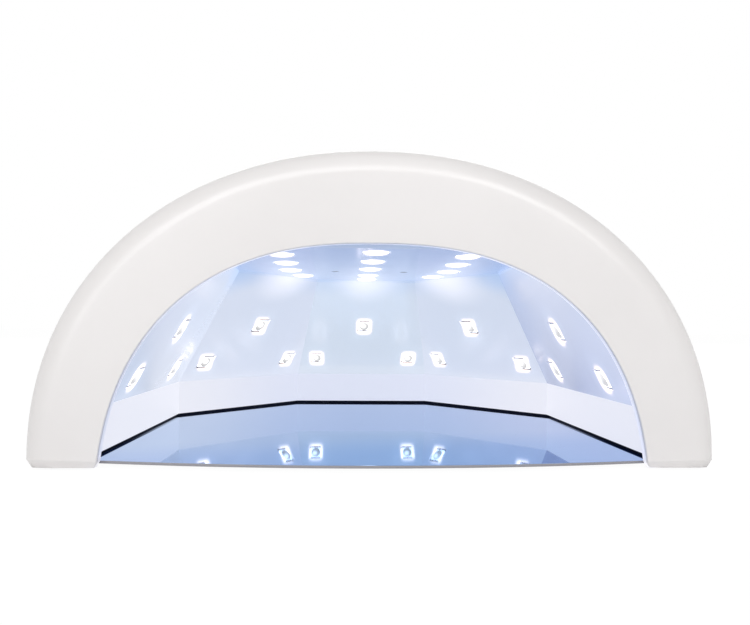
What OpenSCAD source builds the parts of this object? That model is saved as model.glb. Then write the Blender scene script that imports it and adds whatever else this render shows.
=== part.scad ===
// UV LED curing lamp: a white half-dome shell with a flat arched front, a folded mirror
// reflector with LEDs behind square windows, and a mirror base plate that magnets hold
// under the shell. Millimetres, +Z up, the opening faces -Y, the feet stand on z = 0 and
// the origin is under the middle of the lamp.
// The parts are worked out from the shell's lower edge and from its front face, and
// placed() then sets them on the feet.

/* [Shell] */
// Outside width of the shell at its lower edge
shell_w = 220; // [212:1:240]
// Depth of the shell, from its front face to its back
shell_d = 200; // [194:1:225]
// Height of the shell, from its lower edge to its crown
shell_h = 101.4; // [98:0.2:115]
// Wall thickness of the shell
shell_wall = 2.5; // [2:0.1:3]
// Thickness of the flat front face
face_t = 4; // [3:0.1:5]
// Depth of the rounding between the front face and the dome
face_round = 5; // [2:0.5:6]
// Width of that rounding, seen from the front
face_round_w = 8; // [5:0.5:9]
// Height of the upright foot of the shell, where its curve starts
leg_h = 3; // [2.8:0.1:5]
// Exponent of the arch curve, 2 is an ellipse
arch_power = 2.12; // [2.05:0.01:2.4]
// Exponent of the dome's fall to the back
back_power = 2.9; // [2.6:0.1:3.4]
// Depth of the level stretch before the dome falls to the back
level_d = 20; // [10:1:30]
// Width of the bevel along the shell's lower edge
bevel_w = 1.6; // [0.5:0.1:2]
// Height of the bevel along the shell's lower edge
bevel_h = 2.4; // [1:0.1:2.7]
// Depth over which the bevel's front end leans back
bevel_run = 2.5; // [1.8:0.1:3]

/* [Opening in the front face] */
// How far the opening's curve lies inside the reflector at each side
lip_w = 3; // [2:0.5:5]
// How far the opening's crown lies above the ceiling's front edge
lip_rise = 1.1; // [0:0.1:2]
// Depth below the shell's lower edge of the centre of the opening's curve
lip_depth = 19; // [12:1:24]
// Exponent of the opening's curve
lip_power = 2.45; // [2.3:0.01:2.6]

/* [Reflector] */
// Room between the shell's side and the reflector, at the front
room_front = 19; // [18:0.5:21]
// Room between the shell's side and the reflector's front corner
room_mid = 22.7; // [21.5:0.1:26]
// Room between the shell's back and the reflector's front corner
room_mid_back = 81.7; // [76:0.1:90]
// Room between the shell's back and the reflector's back panel
room_back = 22.4; // [20:0.1:26]
// Width of the reflector's back panel at its foot
back_w = 70.6; // [64:0.2:76]
// Room between the shell's crown and the ceiling's front edge
room_top = 31.3; // [29:0.1:34]
// Angle of the ceiling, which falls to the back
ceiling_angle = 2.2; // [1:0.1:3.5]
// Height of the fold between the upright band and the leaning panels
band_top = 17.7; // [16:0.1:19]
// Angle of the side panels from the upright
side_angle = 35; // [33:1:37]
// Angle of the diagonal panels from the upright
diag_angle = 47; // [45:1:49]
// Angle of the back panel from the upright
back_angle = 53; // [50:1:55]
// Thickness of the mirror sheet
mirror_t = 1.2; // [0.8:0.1:1.5]
// Gap between the base plate and the reflector's band at the front
band_gap_front = 0.7; // [0.4:0.1:1]
// Gap between the base plate and the reflector's band at the back
band_gap_back = 1.2; // [0.6:0.1:1.6]

/* [LEDs] */
// Width of an LED package
led_w = 5.4; // [4:0.1:6]
// Length of an LED package, up the wall or across the ceiling
led_l = 7; // [6:0.1:7.4]
// Height of an LED's lens above its board
led_h = 2.2; // [1.6:0.1:2.4]
// Height of an LED's square body above its board
led_body_h = 1; // [0.6:0.1:1.1]
// Width of the lens on an LED
lens_w = 4.6; // [3:0.1:4.8]
// Length of the lens on an LED
lens_l = 6; // [5:0.1:6.4]
// Width of the window around an LED
window_w = 7.4; // [6.8:0.1:9]
// Length of the window around an LED
window_l = 9.4; // [8.6:0.1:10]
// Height of the lower ring of LEDs
low_ring_z = 26.8; // [25.5:0.1:29]
// Height of the upper ring of LEDs
high_ring_z = 44; // [40:0.5:46]
// Thickness of an LED board
board_t = 1.6; // [1:0.1:2]
// Margin between an LED board and the edges of its panel
board_margin = 3.5; // [3:0.1:5]
// Distance of the side panels' low LEDs from the panel's middle
side_low_x = 27.2; // [24:0.1:30]
// Distance of the side panels' high LED from the panel's middle
side_high_x = 11; // [8:0.5:14]
// Distance of the diagonal panels' front low LED from the panel's middle
diag_front_x = 31.8; // [28:0.1:33]
// Distance of the diagonal panels' back low LED from the panel's middle
diag_back_x = 21.4; // [18:0.1:24]
// Distance of the diagonal panels' high LED from the panel's middle
diag_high_x = 14.5; // [10:0.5:16]
// Distance of the back panel's low LEDs from its middle
back_low_x = 24.6; // [20:0.1:26]
// Distance of the ceiling's outer LED columns from the ceiling's side edges
column_in = 21.4; // [18:0.1:24]
// Pitch of the LEDs in the ceiling's middle column
mid_pitch = 25.3; // [23:0.1:27]
// Pitch of the LEDs in the ceiling's outer columns
side_pitch = 24.6; // [23:0.1:27]
// Depth of the middle column's first LED behind the front face
mid_first_y = 15.4; // [13:0.1:17]
// Depth of the outer columns' first LEDs behind the front face
side_first_y = 22.9; // [18:0.1:26]
// Distance of the middle column's last LED from the ceiling's back edge
last_in = 5.7; // [5:0.1:8]
// Distance of the turned-in LEDs from the ceiling's diagonal edges
turn_in = 8.2; // [6:0.1:10]
// Distance of the turned-in LEDs past the middle of those edges
turn_along = 5.3; // [2:0.1:8]

/* [Hand sensor] */
// Distance between the sensor's two eyes
eye_pitch = 28.6; // [24:0.2:32]
// Depth of the sensor's eyes behind the front face
eye_y = 75.2; // [65:0.2:80]
// Radius of a sensor eye
eye_r = 1.5; // [1:0.1:2]

/* [Base plate] */
// Thickness of the base plate
plate_t = 1; // [0.8:0.1:1.2]
// Height of the plate's mirror side above the shell's lower edge
plate_top = 1.7; // [1.6:0.1:2]
// Width of the plate's rim outside the reflector
plate_rim = 5; // [4:0.1:6]
// How far the plate's front edge bulges out between the legs
plate_bulge = 3.2; // [1:0.1:4]
// Radius of the plate's bowed front edge
plate_bow_r = 444; // [400:1:480]
// Radius of a pad under the base plate
pad_r = 4; // [3:0.1:5]

/* [Bottom cover] */
// Thickness of the bottom cover's flange above the plate
flange_t = 2; // [1.6:0.1:2.5]
// Thickness of the cover's rim that carries feet and screws
rim_t = 3; // [2.6:0.1:3.2]
// Height of the rubber feet below the shell's lower edge
foot_h = 1; // [0.6:0.1:2]
// Radius of a rubber foot
foot_r = 4; // [2.5:0.1:4.2]
// Radius of a magnet
magnet_r = 2; // [1.5:0.1:2.1]
// Length of a magnet
magnet_h = 1.8; // [1:0.1:1.9]
// Distance between the two back screws
back_screw_pitch = 44; // [40:1:48]
// Radius of a screw shank
screw_r = 1.25; // [1:0.05:1.5]
// Radius of a screw head
head_r = 2.4; // [2:0.1:2.6]
// Height of a screw head
head_h = 1.4; // [1:0.1:1.6]
// Length of a cover screw's shank
screw_len = 9; // [6:0.5:12]
// Outer radius of a screw boss
boss_r = 2.9; // [2.5:0.1:3.2]

/* [Controls] */
// Depth of the control panel's middle behind the front face
panel_y = 60; // [56:1:62]
// Width of the control panel
panel_w = 48; // [46:1:52]
// Depth of the control panel
panel_d = 17; // [16:0.5:18]
// Depth of the panel's face below the shell's crown
panel_sink = 2.6; // [2.4:0.1:3]
// Thickness of the control panel
panel_t = 4.6; // [4.4:0.1:5]
// Width of the panel's hidden flange
panel_flange = 2; // [1:0.1:2.4]
// Pitch of the timer buttons
button_pitch = 14; // [13:0.5:15]
// Radius of a timer button's cap
button_r = 4.5; // [4:0.1:4.8]
// Height of a button's cap above the panel
button_rise = 1; // [0.9:0.1:1.6]
// Travel of a timer button
button_travel = 0.8; // [0.4:0.1:0.8]
// Width of the control board
control_w = 64; // [62:1:66]
// Depth of the control board
control_d = 32; // [30:1:34]

/* [Power inlet] */
// Height of the inlet's axis above the shell's lower edge
inlet_z = 24; // [20:0.5:28]
// Radius of the inlet's socket
socket_r = 2.75; // [2.5:0.05:3]
// Radius of the inlet's centre pin
pin_r = 1.05; // [0.8:0.05:1.2]
// Depth of the inlet's socket
socket_l = 9.5; // [8:0.5:11]
// Outer radius of the inlet's threaded barrel
barrel_r = 4; // [3.8:0.1:4.4]

/* [Hidden] */
$fn = 48;
fit = 0.3;        // clearance around a piece that lifts in and out
seat = 0.1;       // clearance of a piece that stays in its seat
slip = 0.3;       // clearance around a button's cap
through = 1;      // how far a cutting shape runs past the face it cuts
thread_gap = 0.05; // clearance around a thread in its hole
tip_gap = 0.5;    // room past the tip of a screw
magnet_gap = 0.5; // wall between a magnet and the reflector's slot
arch_steps = 30;  // facets along the shell's arch
bow_facets = 200; // facets of the plate's bowed front edge, as a full circle
dome_steps = 16;  // rings along the fall to the back
round_steps = 3;  // rings in the front rounding
last_ring = 88.8; // angle of the dome's last ring, where 90 would be a point

// ---- Where things are, from the front face and the shell's lower edge ----
front_y = -(shell_d - plate_bulge) / 2;
front_x = shell_w / 2 - room_front;
mid_x = shell_w / 2 - room_mid;
mid_y = shell_d - room_mid_back;
back_x = back_w / 2;
back_y = shell_d - room_back;
ceiling_z = shell_h - room_top;
back_in = shell_d - shell_wall;
plate_back_in = back_y + plate_rim;
cover_z = plate_top + seat;
cover_top = cover_z + flange_t;
rim_z = cover_top - rim_t;
panel_top = shell_h - panel_sink;
panel_z = panel_top - panel_t;
panel_flange_t = 0.8;
button_flange_t = 1.2;
button_flange_w = 1.2;
button_foot_z = panel_z - seat - button_flange_t;
switch_h = 5;
switch_w = 6;
switch_tip_r = 1.75;
switch_body_h = 3.5;
control_z = button_foot_z - button_travel - seat - switch_h;
control_post_in = 4;
control_post_x = control_w / 2 - control_post_in;
control_post_y = control_d / 2 - control_post_in;
control_screw_len = 6;
inlet_back_y = dome_back_y(inlet_z);
inlet_flange_t = 1.5;
inlet_flange_w = 1.6;
inlet_flange_r = barrel_r + inlet_flange_w;
inlet_floor = 2;
barrel_l = socket_l + inlet_floor;
pin_recess = 1;
nut_t = 2;
nut_wall = 2;
foot_recess = 0.6;
eye_recess = 0.2;

// The reflector's foot, seen from above, from the right front corner round to the left
foot_path = [[front_x, face_t], [mid_x, mid_y], [back_x, back_y],
             [-back_x, back_y], [-mid_x, mid_y], [-front_x, face_t]];
leans = [side_angle, diag_angle, back_angle, diag_angle, side_angle];
RIGHT = 0;
RIGHT_BACK = 1;
BACK = 2;
LEFT_BACK = 3;
LEFT = 4;

// Each LED on a wall panel: distance from the panel's middle, towards the right of one
// who stands behind it, and height above the shell's lower edge. A side panel's LEDs
// stand side_led_drop lower than the rings on the other panels
side_led_drop = 1;
side_leds = [[side_low_x, low_ring_z - side_led_drop], [-side_low_x, low_ring_z - side_led_drop],
             [side_high_x, high_ring_z - side_led_drop]];
diag_leds = [[diag_front_x, low_ring_z], [-diag_back_x, low_ring_z], [diag_high_x, high_ring_z]];
back_leds = [[back_low_x, low_ring_z], [-back_low_x, low_ring_z], [0, high_ring_z]];
function flipped(list) = [for (p = list) [-p.x, p.y]];
panel_leds = [side_leds, diag_leds, back_leds, flipped(diag_leds), flipped(side_leds)];

// ---- Vectors ----
function unit(v) = v / norm(v);
function turn_right(d) = [d.y, -d.x];
function cross2(a, b) = a.x * b.y - a.y * b.x;
// Where the line through p along d meets the line through q along e
function meet2(p, d, q, e) = p + d * cross2(q - p, e) / cross2(d, e);
// Where three planes meet, each written [normal, distance]
function meet3(a, b, c) =
    (a[1] * cross(b[0], c[0]) + b[1] * cross(c[0], a[0]) + c[1] * cross(a[0], b[0]))
    / (a[0] * cross(b[0], c[0]));

// The foot path moved outwards by w, with its two ends kept at depth end_y
function grown_path(w, end_y) =
    let (last = len(foot_path) - 1,
         dir = [for (i = [0:last - 1]) unit(foot_path[i + 1] - foot_path[i])],
         base = [for (i = [0:last - 1]) foot_path[i] + w * turn_right(dir[i])])
    [for (i = [0:last])
        i == 0 ? meet2(base[0], dir[0], [0, end_y], [1, 0])
        : i == last ? meet2(base[last - 1], dir[last - 1], [0, end_y], [1, 0])
        : meet2(base[i - 1], dir[i - 1], base[i], dir[i])];

// ---- Reflector facets: a frame [middle of foot edge, across, up the slope, inwards] ----
function facet(i) =
    let (p = foot_path[i], q = foot_path[i + 1], run = unit(q - p), inward = -turn_right(run),
         lean = leans[i], in3 = [inward.x, inward.y, 0], up3 = [0, 0, 1])
    [[(p.x + q.x) / 2, (p.y + q.y) / 2, band_top], [-run.x, -run.y, 0],
     cos(lean) * up3 + sin(lean) * in3, cos(lean) * in3 - sin(lean) * up3];
function facet_plane(i) = let (f = facet(i)) [f[3], f[3] * f[0]];
ceiling_plane = [[0, tan(ceiling_angle), 1], ceiling_z];
front_plane = [[0, 1, 0], face_t];
function side_plane(i) = i < 0 || i > LEFT ? front_plane : facet_plane(i);
function top_corner(i) = meet3(side_plane(i - 1), side_plane(i), ceiling_plane);
function in_facet(f, p) = [(p - f[0]) * f[1], (p - f[0]) * f[2]];
function facet_outline(i) =
    let (f = facet(i), p = foot_path[i], q = foot_path[i + 1])
    [in_facet(f, [p.x, p.y, band_top]), in_facet(f, [q.x, q.y, band_top]),
     in_facet(f, top_corner(i + 1)), in_facet(f, top_corner(i))];
function slope_at(i, z) = (z - band_top) / cos(leans[i]);
ceiling_outline = [for (i = [0:LEFT + 1]) let (c = top_corner(i)) [c.x, c.y]];

// ---- LEDs on the ceiling: three columns along the depth, each ended by an LED that sits
// close to the ceiling's edge. The outer columns turn in there, along the diagonal edges
column_gap = 12;  // least depth between a column's last LED and the one before it
column_x = ceiling_outline[1].x - column_in;
last_led_y = ceiling_outline[2].y - last_in;
turn_led = let (p = ceiling_outline[1], q = ceiling_outline[2], run = unit(q - p))
    (p + q) / 2 + turn_along * run - turn_in * turn_right(run);
ceiling_leds = concat(
    [for (y = [mid_first_y:mid_pitch:last_led_y - column_gap]) [0, y]], [[0, last_led_y]],
    [for (s = [-1, 1], y = [side_first_y:side_pitch:turn_led.y - column_gap]) [s * column_x, y]],
    [for (s = [-1, 1]) [s * turn_led.x, turn_led.y]]);

// An outline drawn in by w: each edge moves inwards, and the corners are met again
function shrunk(outline, w) =
    let (n = len(outline),
         area = sign(sum2([for (i = [0:n - 1]) cross2(outline[i], outline[(i + 1) % n])])),
         dir = [for (i = [0:n - 1]) unit(outline[(i + 1) % n] - outline[i])],
         base = [for (i = [0:n - 1]) outline[i] - area * w * turn_right(dir[i])])
    [for (i = [0:n - 1]) let (j = (i + n - 1) % n) meet2(base[j], dir[j], base[i], dir[i])];
function sum2(list, i = 0) = i == len(list) ? 0 : list[i] + sum2(list, i + 1);

// ---- The dome: rings along Y, each an arch ----
// How much of its width and height the dome keeps at depth y, where it ends at depth back
function kept(y, back) =
    let (t = min(1, max(0, (y - level_d) / (back - level_d))))
    pow(1 - pow(t, back_power), 1 / arch_power);
// Depth at which the dome's back stands, on the middle line, at height z
function dome_back_y(z) =
    level_d + (shell_d - level_d)
    * pow(1 - pow((z - leg_h) / (shell_h - leg_h), arch_power), 1 / back_power);
// Height of the dome over the point x, y
function dome_z(x, y) =
    let (k = pow(kept(y, shell_d), arch_power))
    leg_h + (shell_h - leg_h)
    * pow(max(0, k - pow(abs(x) / (shell_w / 2), arch_power)), 1 / arch_power);
function shell_in_x(y) = (shell_w / 2 - shell_wall) * kept(y, back_in);
// Depth of a foot's lower edge on the ring at depth y: the front end leans back
function foot_y(y) = y + bevel_w * max(0, 1 - y / bevel_run);
// One ring of the dome: a bevelled foot, then the arch, from the right foot to the left one
function ring(half, top, y, bw, bh) =
    let (b = min(bw, half / 2))
    concat([[half - b, foot_y(y), 0], [half, y, bh]],
        [for (i = [0:arch_steps]) let (a = 180 * i / arch_steps)
            [half * sign(cos(a)) * pow(abs(cos(a)), 2 / arch_power), y,
             leg_h + (top - leg_h) * pow(sin(a), 2 / arch_power)]],
        [[-half, y, bh], [b - half, foot_y(y), 0]]);
function outer_ring(y) = ring((shell_w / 2 - inset(y)) * kept(y, shell_d),
    leg_h + (shell_h - inset(y) - leg_h) * kept(y, shell_d), y, bevel_w, bevel_h);
function inner_ring(y) = ring(shell_in_x(y),
    leg_h + (shell_h - shell_wall - leg_h) * kept(y, back_in), y, 0, bevel_h);
// How far the outer rings draw in over the rounding behind the front face
function inset(y) = y >= face_round ? 0 : face_round_w * (1 - sqrt(1 - pow(1 - y / face_round, 2)));
// The opening's ring, about a centre below the floor, with bevelled foot corners. Its
// curve starts lip_foot_h above the plate's mirror side
lip_bevel = 1.1;
lip_foot_h = 1;
lip_half = front_x - lip_w;
lip_top = ceiling_z + lip_rise + lip_depth;
function lip_x(z) = lip_half * pow(1 - pow((z + lip_depth) / lip_top, lip_power), 1 / lip_power);
function lip_ring(y) =
    let (start = asin(pow((plate_top + lip_foot_h + lip_depth) / lip_top, lip_power / 2)),
         edge = lip_x(plate_top))
    concat([[edge + lip_bevel, foot_y(y), 0], [edge, y, plate_top]],
        [for (i = [0:arch_steps]) let (a = start + (180 - 2 * start) * i / arch_steps)
            [lip_half * sign(cos(a)) * pow(abs(cos(a)), 2 / lip_power), y,
             lip_top * pow(sin(a), 2 / lip_power) - lip_depth]],
        [[-edge, y, plate_top], [-edge - lip_bevel, foot_y(y), 0]]);
// Depths of the rings: close together in the rounding, then closer again to the back
function fall_depths(back) =
    [for (i = [1:dome_steps]) level_d + (back - level_d) * sin(last_ring * i / dome_steps)];
outer_depths = concat([for (i = [0:round_steps]) face_round * (1 - cos(90 * i / round_steps))],
    [level_d], fall_depths(shell_d));
inner_depths = concat([for (i = [0:round_steps]) face_t + (level_d - face_t) * i / (round_steps + 1)],
    [level_d], fall_depths(back_in));
// The shell's skin in one go: the outer rings from the lip to the back, the inner rings
// from the lip to the back, a cap for each at the back, and the foot edge between the two
module dome_skin() {
    outer = concat([lip_ring(0)], [for (y = outer_depths) outer_ring(y)]);
    inner = concat([lip_ring(face_t)], [for (y = inner_depths) inner_ring(y)]);
    rings = len(outer);
    m = len(outer[0]);
    n = rings * m;
    last = n - m;
    outside = [for (i = [0:rings - 2], j = [0:m - 2]) let (a = i * m + j)
        each [[a, a + 1, a + m], [a + 1, a + m + 1, a + m]]];
    inside = [for (f = outside) [f[0] + n, f[2] + n, f[1] + n]];
    lip = [for (j = [0:m - 2]) each [[j, j + n, j + 1], [j + 1, j + n, j + n + 1]]];
    feet = [for (i = [0:rings - 2]) let (a = i * m, b = a + m - 1)
        each [[a, a + m, a + n], [a + m, a + m + n, a + n],
              [b, b + n, b + m], [b + m, b + n, b + m + n]]];
    back_foot = [[last, last + m - 1, last + n], [last + m - 1, last + m - 1 + n, last + n]];
    caps = [for (j = [0:m - 1]) let (k = (j + 1) % m)
        each [[last + j, last + k, 2 * n], [last + n + k, last + n + j, 2 * n + 1]]];
    middles = [for (r = [outer[rings - 1], inner[rings - 1]]) [0, r[0].y, leg_h / 2]];
    polyhedron(concat([for (r = concat(outer, inner)) each r], middles),
        concat(outside, inside, lip, feet, back_foot, caps), convexity = 8);
}
// Posts inside the shell, up into its wall as far as post_skin below its outside
post_skin = shell_wall / 3;
module posts(places, r, z) {
    for (p = places) translate([p.x, p.y, z])
        cylinder(r = r, h = dome_z(abs(p.x) + r, p.y + r) - post_skin - z);
}

// ---- Shared shapes ----
module placed() {
    translate([0, front_y, foot_h]) children();
}
module on_facet(i) {
    f = facet(i);
    multmatrix([[f[1].x, f[2].x, f[3].x, f[0].x],
                [f[1].y, f[2].y, f[3].y, f[0].y],
                [f[1].z, f[2].z, f[3].z, f[0].z]]) children();
}
module on_ceiling() {
    translate([0, 0, ceiling_z]) rotate([-ceiling_angle, 0, 0]) children();
}
module slab(outline, z, t) {
    translate([0, 0, z]) linear_extrude(t) polygon(outline);
}
module pegs(places, r, z, h) {
    for (p = places) translate([p.x, p.y, z]) cylinder(r = r, h = h);
}
module stadium(w, d, z, t) {
    translate([0, 0, z]) linear_extrude(t) union() {
        square([w - d, d], center = true);
        for (s = [-1, 1]) translate([s * (w - d) / 2, 0]) circle(d = d);
    }
}

// ---- Places of the fasteners, feet, magnets and posts ----
// A place along each side is a share t of the reflector's side run, from its front
// corner to the next one
function side_y(t) = face_t + (mid_y - face_t) * t;
function side_x(t) = front_x + (mid_x - front_x) * t;
function rim_place(s, t) =
    [s * (side_x(t) + plate_rim + fit + shell_in_x(side_y(t)) - seat) / 2, side_y(t)];
function magnet_place(s, t) = [s * (side_x(t) + mirror_t + magnet_r + magnet_gap), side_y(t)];
rim_back_y = (plate_back_in + fit + back_in - seat) / 2;
back_screw_in = 1.5;     // how far the back screws lie ahead of the rim's middle
back_magnet_pitch = 40;  // distance between the two back magnets
cover_screw_places = concat([for (s = [-1, 1], t = [0.3, 0.7]) rim_place(s, t)],
    [for (s = [-1, 1]) [s * back_screw_pitch / 2, rim_back_y - back_screw_in]]);
foot_places = concat([for (s = [-1, 1], t = [0.1, 0.5]) rim_place(s, t)], [[0, rim_back_y]]);
magnet_places = concat([for (s = [-1, 1], t = [0.23, 0.8]) magnet_place(s, t)],
    [for (s = [-1, 1]) [s * back_magnet_pitch / 2, back_y + mirror_t + magnet_r + magnet_gap]]);
pad_x = 76;              // distance of the plate's pads from the middle
pad_front_y = 26;        // depth of the front pads
pad_back_in = 8;         // how far the back pads lie ahead of the reflector's corners
pad_places = [for (s = [-1, 1], y = [pad_front_y, mid_y - pad_back_in]) [s * pad_x, y]];
ceiling_post_x = 44;     // distance of the posts over the ceiling board from the middle
ceiling_post_depths = [24, 60];
ceiling_post_places = [for (s = [-1, 1], y = ceiling_post_depths) [s * ceiling_post_x, y]];
control_post_places =
    [for (s = [-1, 1], t = [-1, 1]) [s * control_post_x, panel_y + t * control_post_y]];
ceiling_post_r = 3;
post_gap = 0.2;
post_z = ceiling_z + board_t + mirror_t + post_gap;

module top_shell() {
    color([0.93, 0.93, 0.92]) placed() difference() {
        union() {
            dome_skin();
            posts(cover_screw_places, boss_r, cover_top + seat);
            posts(ceiling_post_places, ceiling_post_r, post_z);
            posts(control_post_places, boss_r, control_z);
        }
        translate([0, panel_y, 0])
            stadium(panel_w + 2 * seat, panel_d + 2 * seat, panel_z, shell_h - panel_z);
        pegs(cover_screw_places, screw_r + thread_gap, cover_top, screw_len + seat);
        pegs(control_post_places, screw_r + thread_gap, control_z - through,
            control_screw_len + through);
        translate([0, inlet_back_y + through, inlet_z]) rotate([90, 0, 0]) {
            cylinder(r = barrel_r + seat, h = 3 * shell_wall + through);
            cylinder(r = inlet_flange_r + seat, h = inlet_flange_t + through);
        }
    }
}

// ---- Controls on the crown ----
module control_panel() {
    color([0.85, 0.86, 0.88]) placed() translate([0, panel_y, 0]) difference() {
        union() {
            stadium(panel_w, panel_d, panel_z, panel_t);
            stadium(panel_w + 2 * panel_flange, panel_d + 2 * panel_flange, panel_z, panel_flange_t);
        }
        for (i = [-1:1]) translate([i * button_pitch, 0, panel_z - through])
            cylinder(r = button_r + slip, h = panel_t + 2 * through);
    }
}
module timer_button(i) {
    color([0.96, 0.96, 0.96]) placed() translate([i * button_pitch, panel_y, button_foot_z]) {
        cylinder(r = button_r + button_flange_w, h = button_flange_t);
        cylinder(r = button_r, h = panel_top + button_rise - button_foot_z);
    }
}
module timer_button_short() { timer_button(-1); }
module timer_button_medium() { timer_button(0); }
module timer_button_long() { timer_button(1); }
module tact_switches() {
    color([0.2, 0.2, 0.22]) placed() for (i = [-1:1]) translate([i * button_pitch, panel_y, control_z]) {
        translate([0, 0, switch_body_h / 2]) cube([switch_w, switch_w, switch_body_h], center = true);
        cylinder(r = switch_tip_r, h = switch_h);
    }
}
module control_board() {
    color([0.1, 0.4, 0.2]) placed() difference() {
        translate([0, panel_y, control_z - board_t / 2])
            cube([control_w, control_d, board_t], center = true);
        pegs(control_post_places, screw_r + seat, control_z - board_t - through, board_t + 2 * through);
    }
}
module control_board_screws() {
    color([0.7, 0.7, 0.72]) placed() {
        pegs(control_post_places, screw_r, control_z - board_t, board_t + control_screw_len - tip_gap);
        pegs(control_post_places, head_r, control_z - board_t - head_h, head_h);
    }
}

// ---- Reflector ----
module reflector_band() {
    inner = foot_path;
    outer = grown_path(mirror_t, face_t);
    gap_low = [[0, plate_top + band_gap_front], [shell_d, plate_top + band_gap_back],
               [shell_d, -through], [0, -through]];
    color([0.85, 0.88, 0.95]) placed() difference() {
        slab(concat(inner, [for (i = [len(outer) - 1:-1:0]) outer[i]]), plate_top, band_top - plate_top);
        rotate([90, 0, 90]) linear_extrude(shell_w, center = true) polygon(gap_low);
    }
}
module window(p) {
    translate([p.x, p.y, -mirror_t / 2])
        cube([window_w, window_l, mirror_t + 2 * through], center = true);
}
module wall_mirror(i) {
    color([0.78, 0.83, 0.93]) placed() on_facet(i) difference() {
        slab(facet_outline(i), -mirror_t, mirror_t);
        for (p = panel_leds[i]) window([p.x, slope_at(i, p.y)]);
    }
}
module wall_board(i) {
    color([0.9, 0.9, 0.9]) placed() on_facet(i)
        slab(shrunk(facet_outline(i), board_margin), -mirror_t - board_t, board_t);
}
module led() {
    translate([0, 0, led_body_h / 2]) cube([led_w, led_l, led_body_h], center = true);
    rotate([0, 0, 90]) stadium(lens_l, lens_w, 0, led_h);
}
module wall_leds(i) {
    color([1, 1, 0.95]) placed() on_facet(i)
        for (p = panel_leds[i]) translate([p.x, slope_at(i, p.y), -mirror_t]) led();
}
module reflector_right() { wall_mirror(RIGHT); }
module reflector_right_back() { wall_mirror(RIGHT_BACK); }
module reflector_back() { wall_mirror(BACK); }
module reflector_left_back() { wall_mirror(LEFT_BACK); }
module reflector_left() { wall_mirror(LEFT); }
module board_right() { wall_board(RIGHT); }
module board_right_back() { wall_board(RIGHT_BACK); }
module board_back() { wall_board(BACK); }
module board_left_back() { wall_board(LEFT_BACK); }
module board_left() { wall_board(LEFT); }
module leds_right() { wall_leds(RIGHT); }
module leds_right_back() { wall_leds(RIGHT_BACK); }
module leds_back() { wall_leds(BACK); }
module leds_left_back() { wall_leds(LEFT_BACK); }
module leds_left() { wall_leds(LEFT); }
module reflector_ceiling() {
    color([0.72, 0.79, 0.92]) placed() on_ceiling() difference() {
        slab(ceiling_outline, 0, mirror_t);
        for (p = ceiling_leds) translate([p.x, p.y, mirror_t]) rotate([0, 0, 90]) window([0, 0]);
        for (s = [-1, 1]) translate([s * eye_pitch / 2, eye_y, -through])
            cylinder(r = eye_r + seat, h = mirror_t + 2 * through);
    }
}
module board_ceiling() {
    color([0.9, 0.9, 0.9]) placed() on_ceiling()
        slab(shrunk(ceiling_outline, board_margin), mirror_t, board_t);
}
module leds_ceiling() {
    color([1, 1, 0.95]) placed() on_ceiling()
        for (p = ceiling_leds) translate([p.x, p.y, mirror_t]) mirror([0, 0, 1]) rotate([0, 0, 90]) led();
}
module hand_sensor() {
    color([0.1, 0.1, 0.12]) placed() on_ceiling()
        for (s = [-1, 1]) translate([s * eye_pitch / 2, eye_y, eye_recess])
            cylinder(r = eye_r, h = mirror_t - eye_recess);
}

// ---- Power inlet in the back ----
module power_inlet() {
    color([0.12, 0.12, 0.13]) placed() translate([0, inlet_back_y, inlet_z]) rotate([90, 0, 0]) {
        difference() {
            union() {
                cylinder(r = inlet_flange_r, h = inlet_flange_t);
                cylinder(r = barrel_r, h = barrel_l);
            }
            translate([0, 0, -through]) cylinder(r = socket_r, h = socket_l + through);
        }
        translate([0, 0, pin_recess]) cylinder(r = pin_r, h = socket_l);
    }
}
module inlet_nut() {
    nut_y = inlet_back_y - inlet_flange_t - 2 * shell_wall;
    color([0.75, 0.75, 0.77]) placed() translate([0, nut_y, inlet_z]) rotate([90, 0, 0]) difference() {
        cylinder(r = barrel_r + nut_wall, h = nut_t, $fn = 6);
        translate([0, 0, -through]) cylinder(r = barrel_r + thread_gap, h = nut_t + 2 * through);
    }
}

// ---- Bottom cover and base plate ----
cover_depths = concat([face_t + seat, level_d], fall_depths(back_in));
cover_end_x = 1;  // half width of the cover's straight back end
cover_side = [for (y = cover_depths) [max(cover_end_x, shell_in_x(y) - 2 * seat), y - seat]];
cover_outline = concat(cover_side,
    [for (i = [len(cover_side) - 1:-1:0]) [-cover_side[i].x, cover_side[i].y]]);
// The area inside the reflector's foot, grown by w and run out ahead of the front face
module inside_path(w, z, t, ahead = through) {
    slab(concat([[front_x + w, -ahead]], grown_path(w, face_t), [[-front_x - w, -ahead]]), z, t);
}
module bottom_cover() {
    color([0.08, 0.08, 0.09]) placed() difference() {
        slab(cover_outline, rim_z, rim_t);
        inside_path(mirror_t + seat, rim_z - through, rim_t + 2 * through);
        inside_path(plate_rim + fit, rim_z - through, cover_z - rim_z + through);
        pegs(cover_screw_places, screw_r + seat, rim_z - through, rim_t + 2 * through);
        pegs(cover_screw_places, head_r + seat, rim_z - through, head_h + seat + through);
        pegs(foot_places, foot_r + seat, rim_z - through, foot_recess + through);
        pegs(magnet_places, magnet_r + seat, cover_z - through, magnet_h + through);
    }
}
module cover_screws() {
    color([0.7, 0.7, 0.72]) placed() {
        pegs(cover_screw_places, screw_r, rim_z + seat, rim_t + screw_len - tip_gap);
        pegs(cover_screw_places, head_r, rim_z + seat, head_h);
    }
}
module magnets() {
    color([0.8, 0.8, 0.82]) placed() pegs(magnet_places, magnet_r, cover_z, magnet_h);
}
module rubber_feet() {
    color([0.15, 0.15, 0.15]) placed() pegs(foot_places, foot_r, -foot_h, foot_h + rim_z + foot_recess);
}
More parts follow.
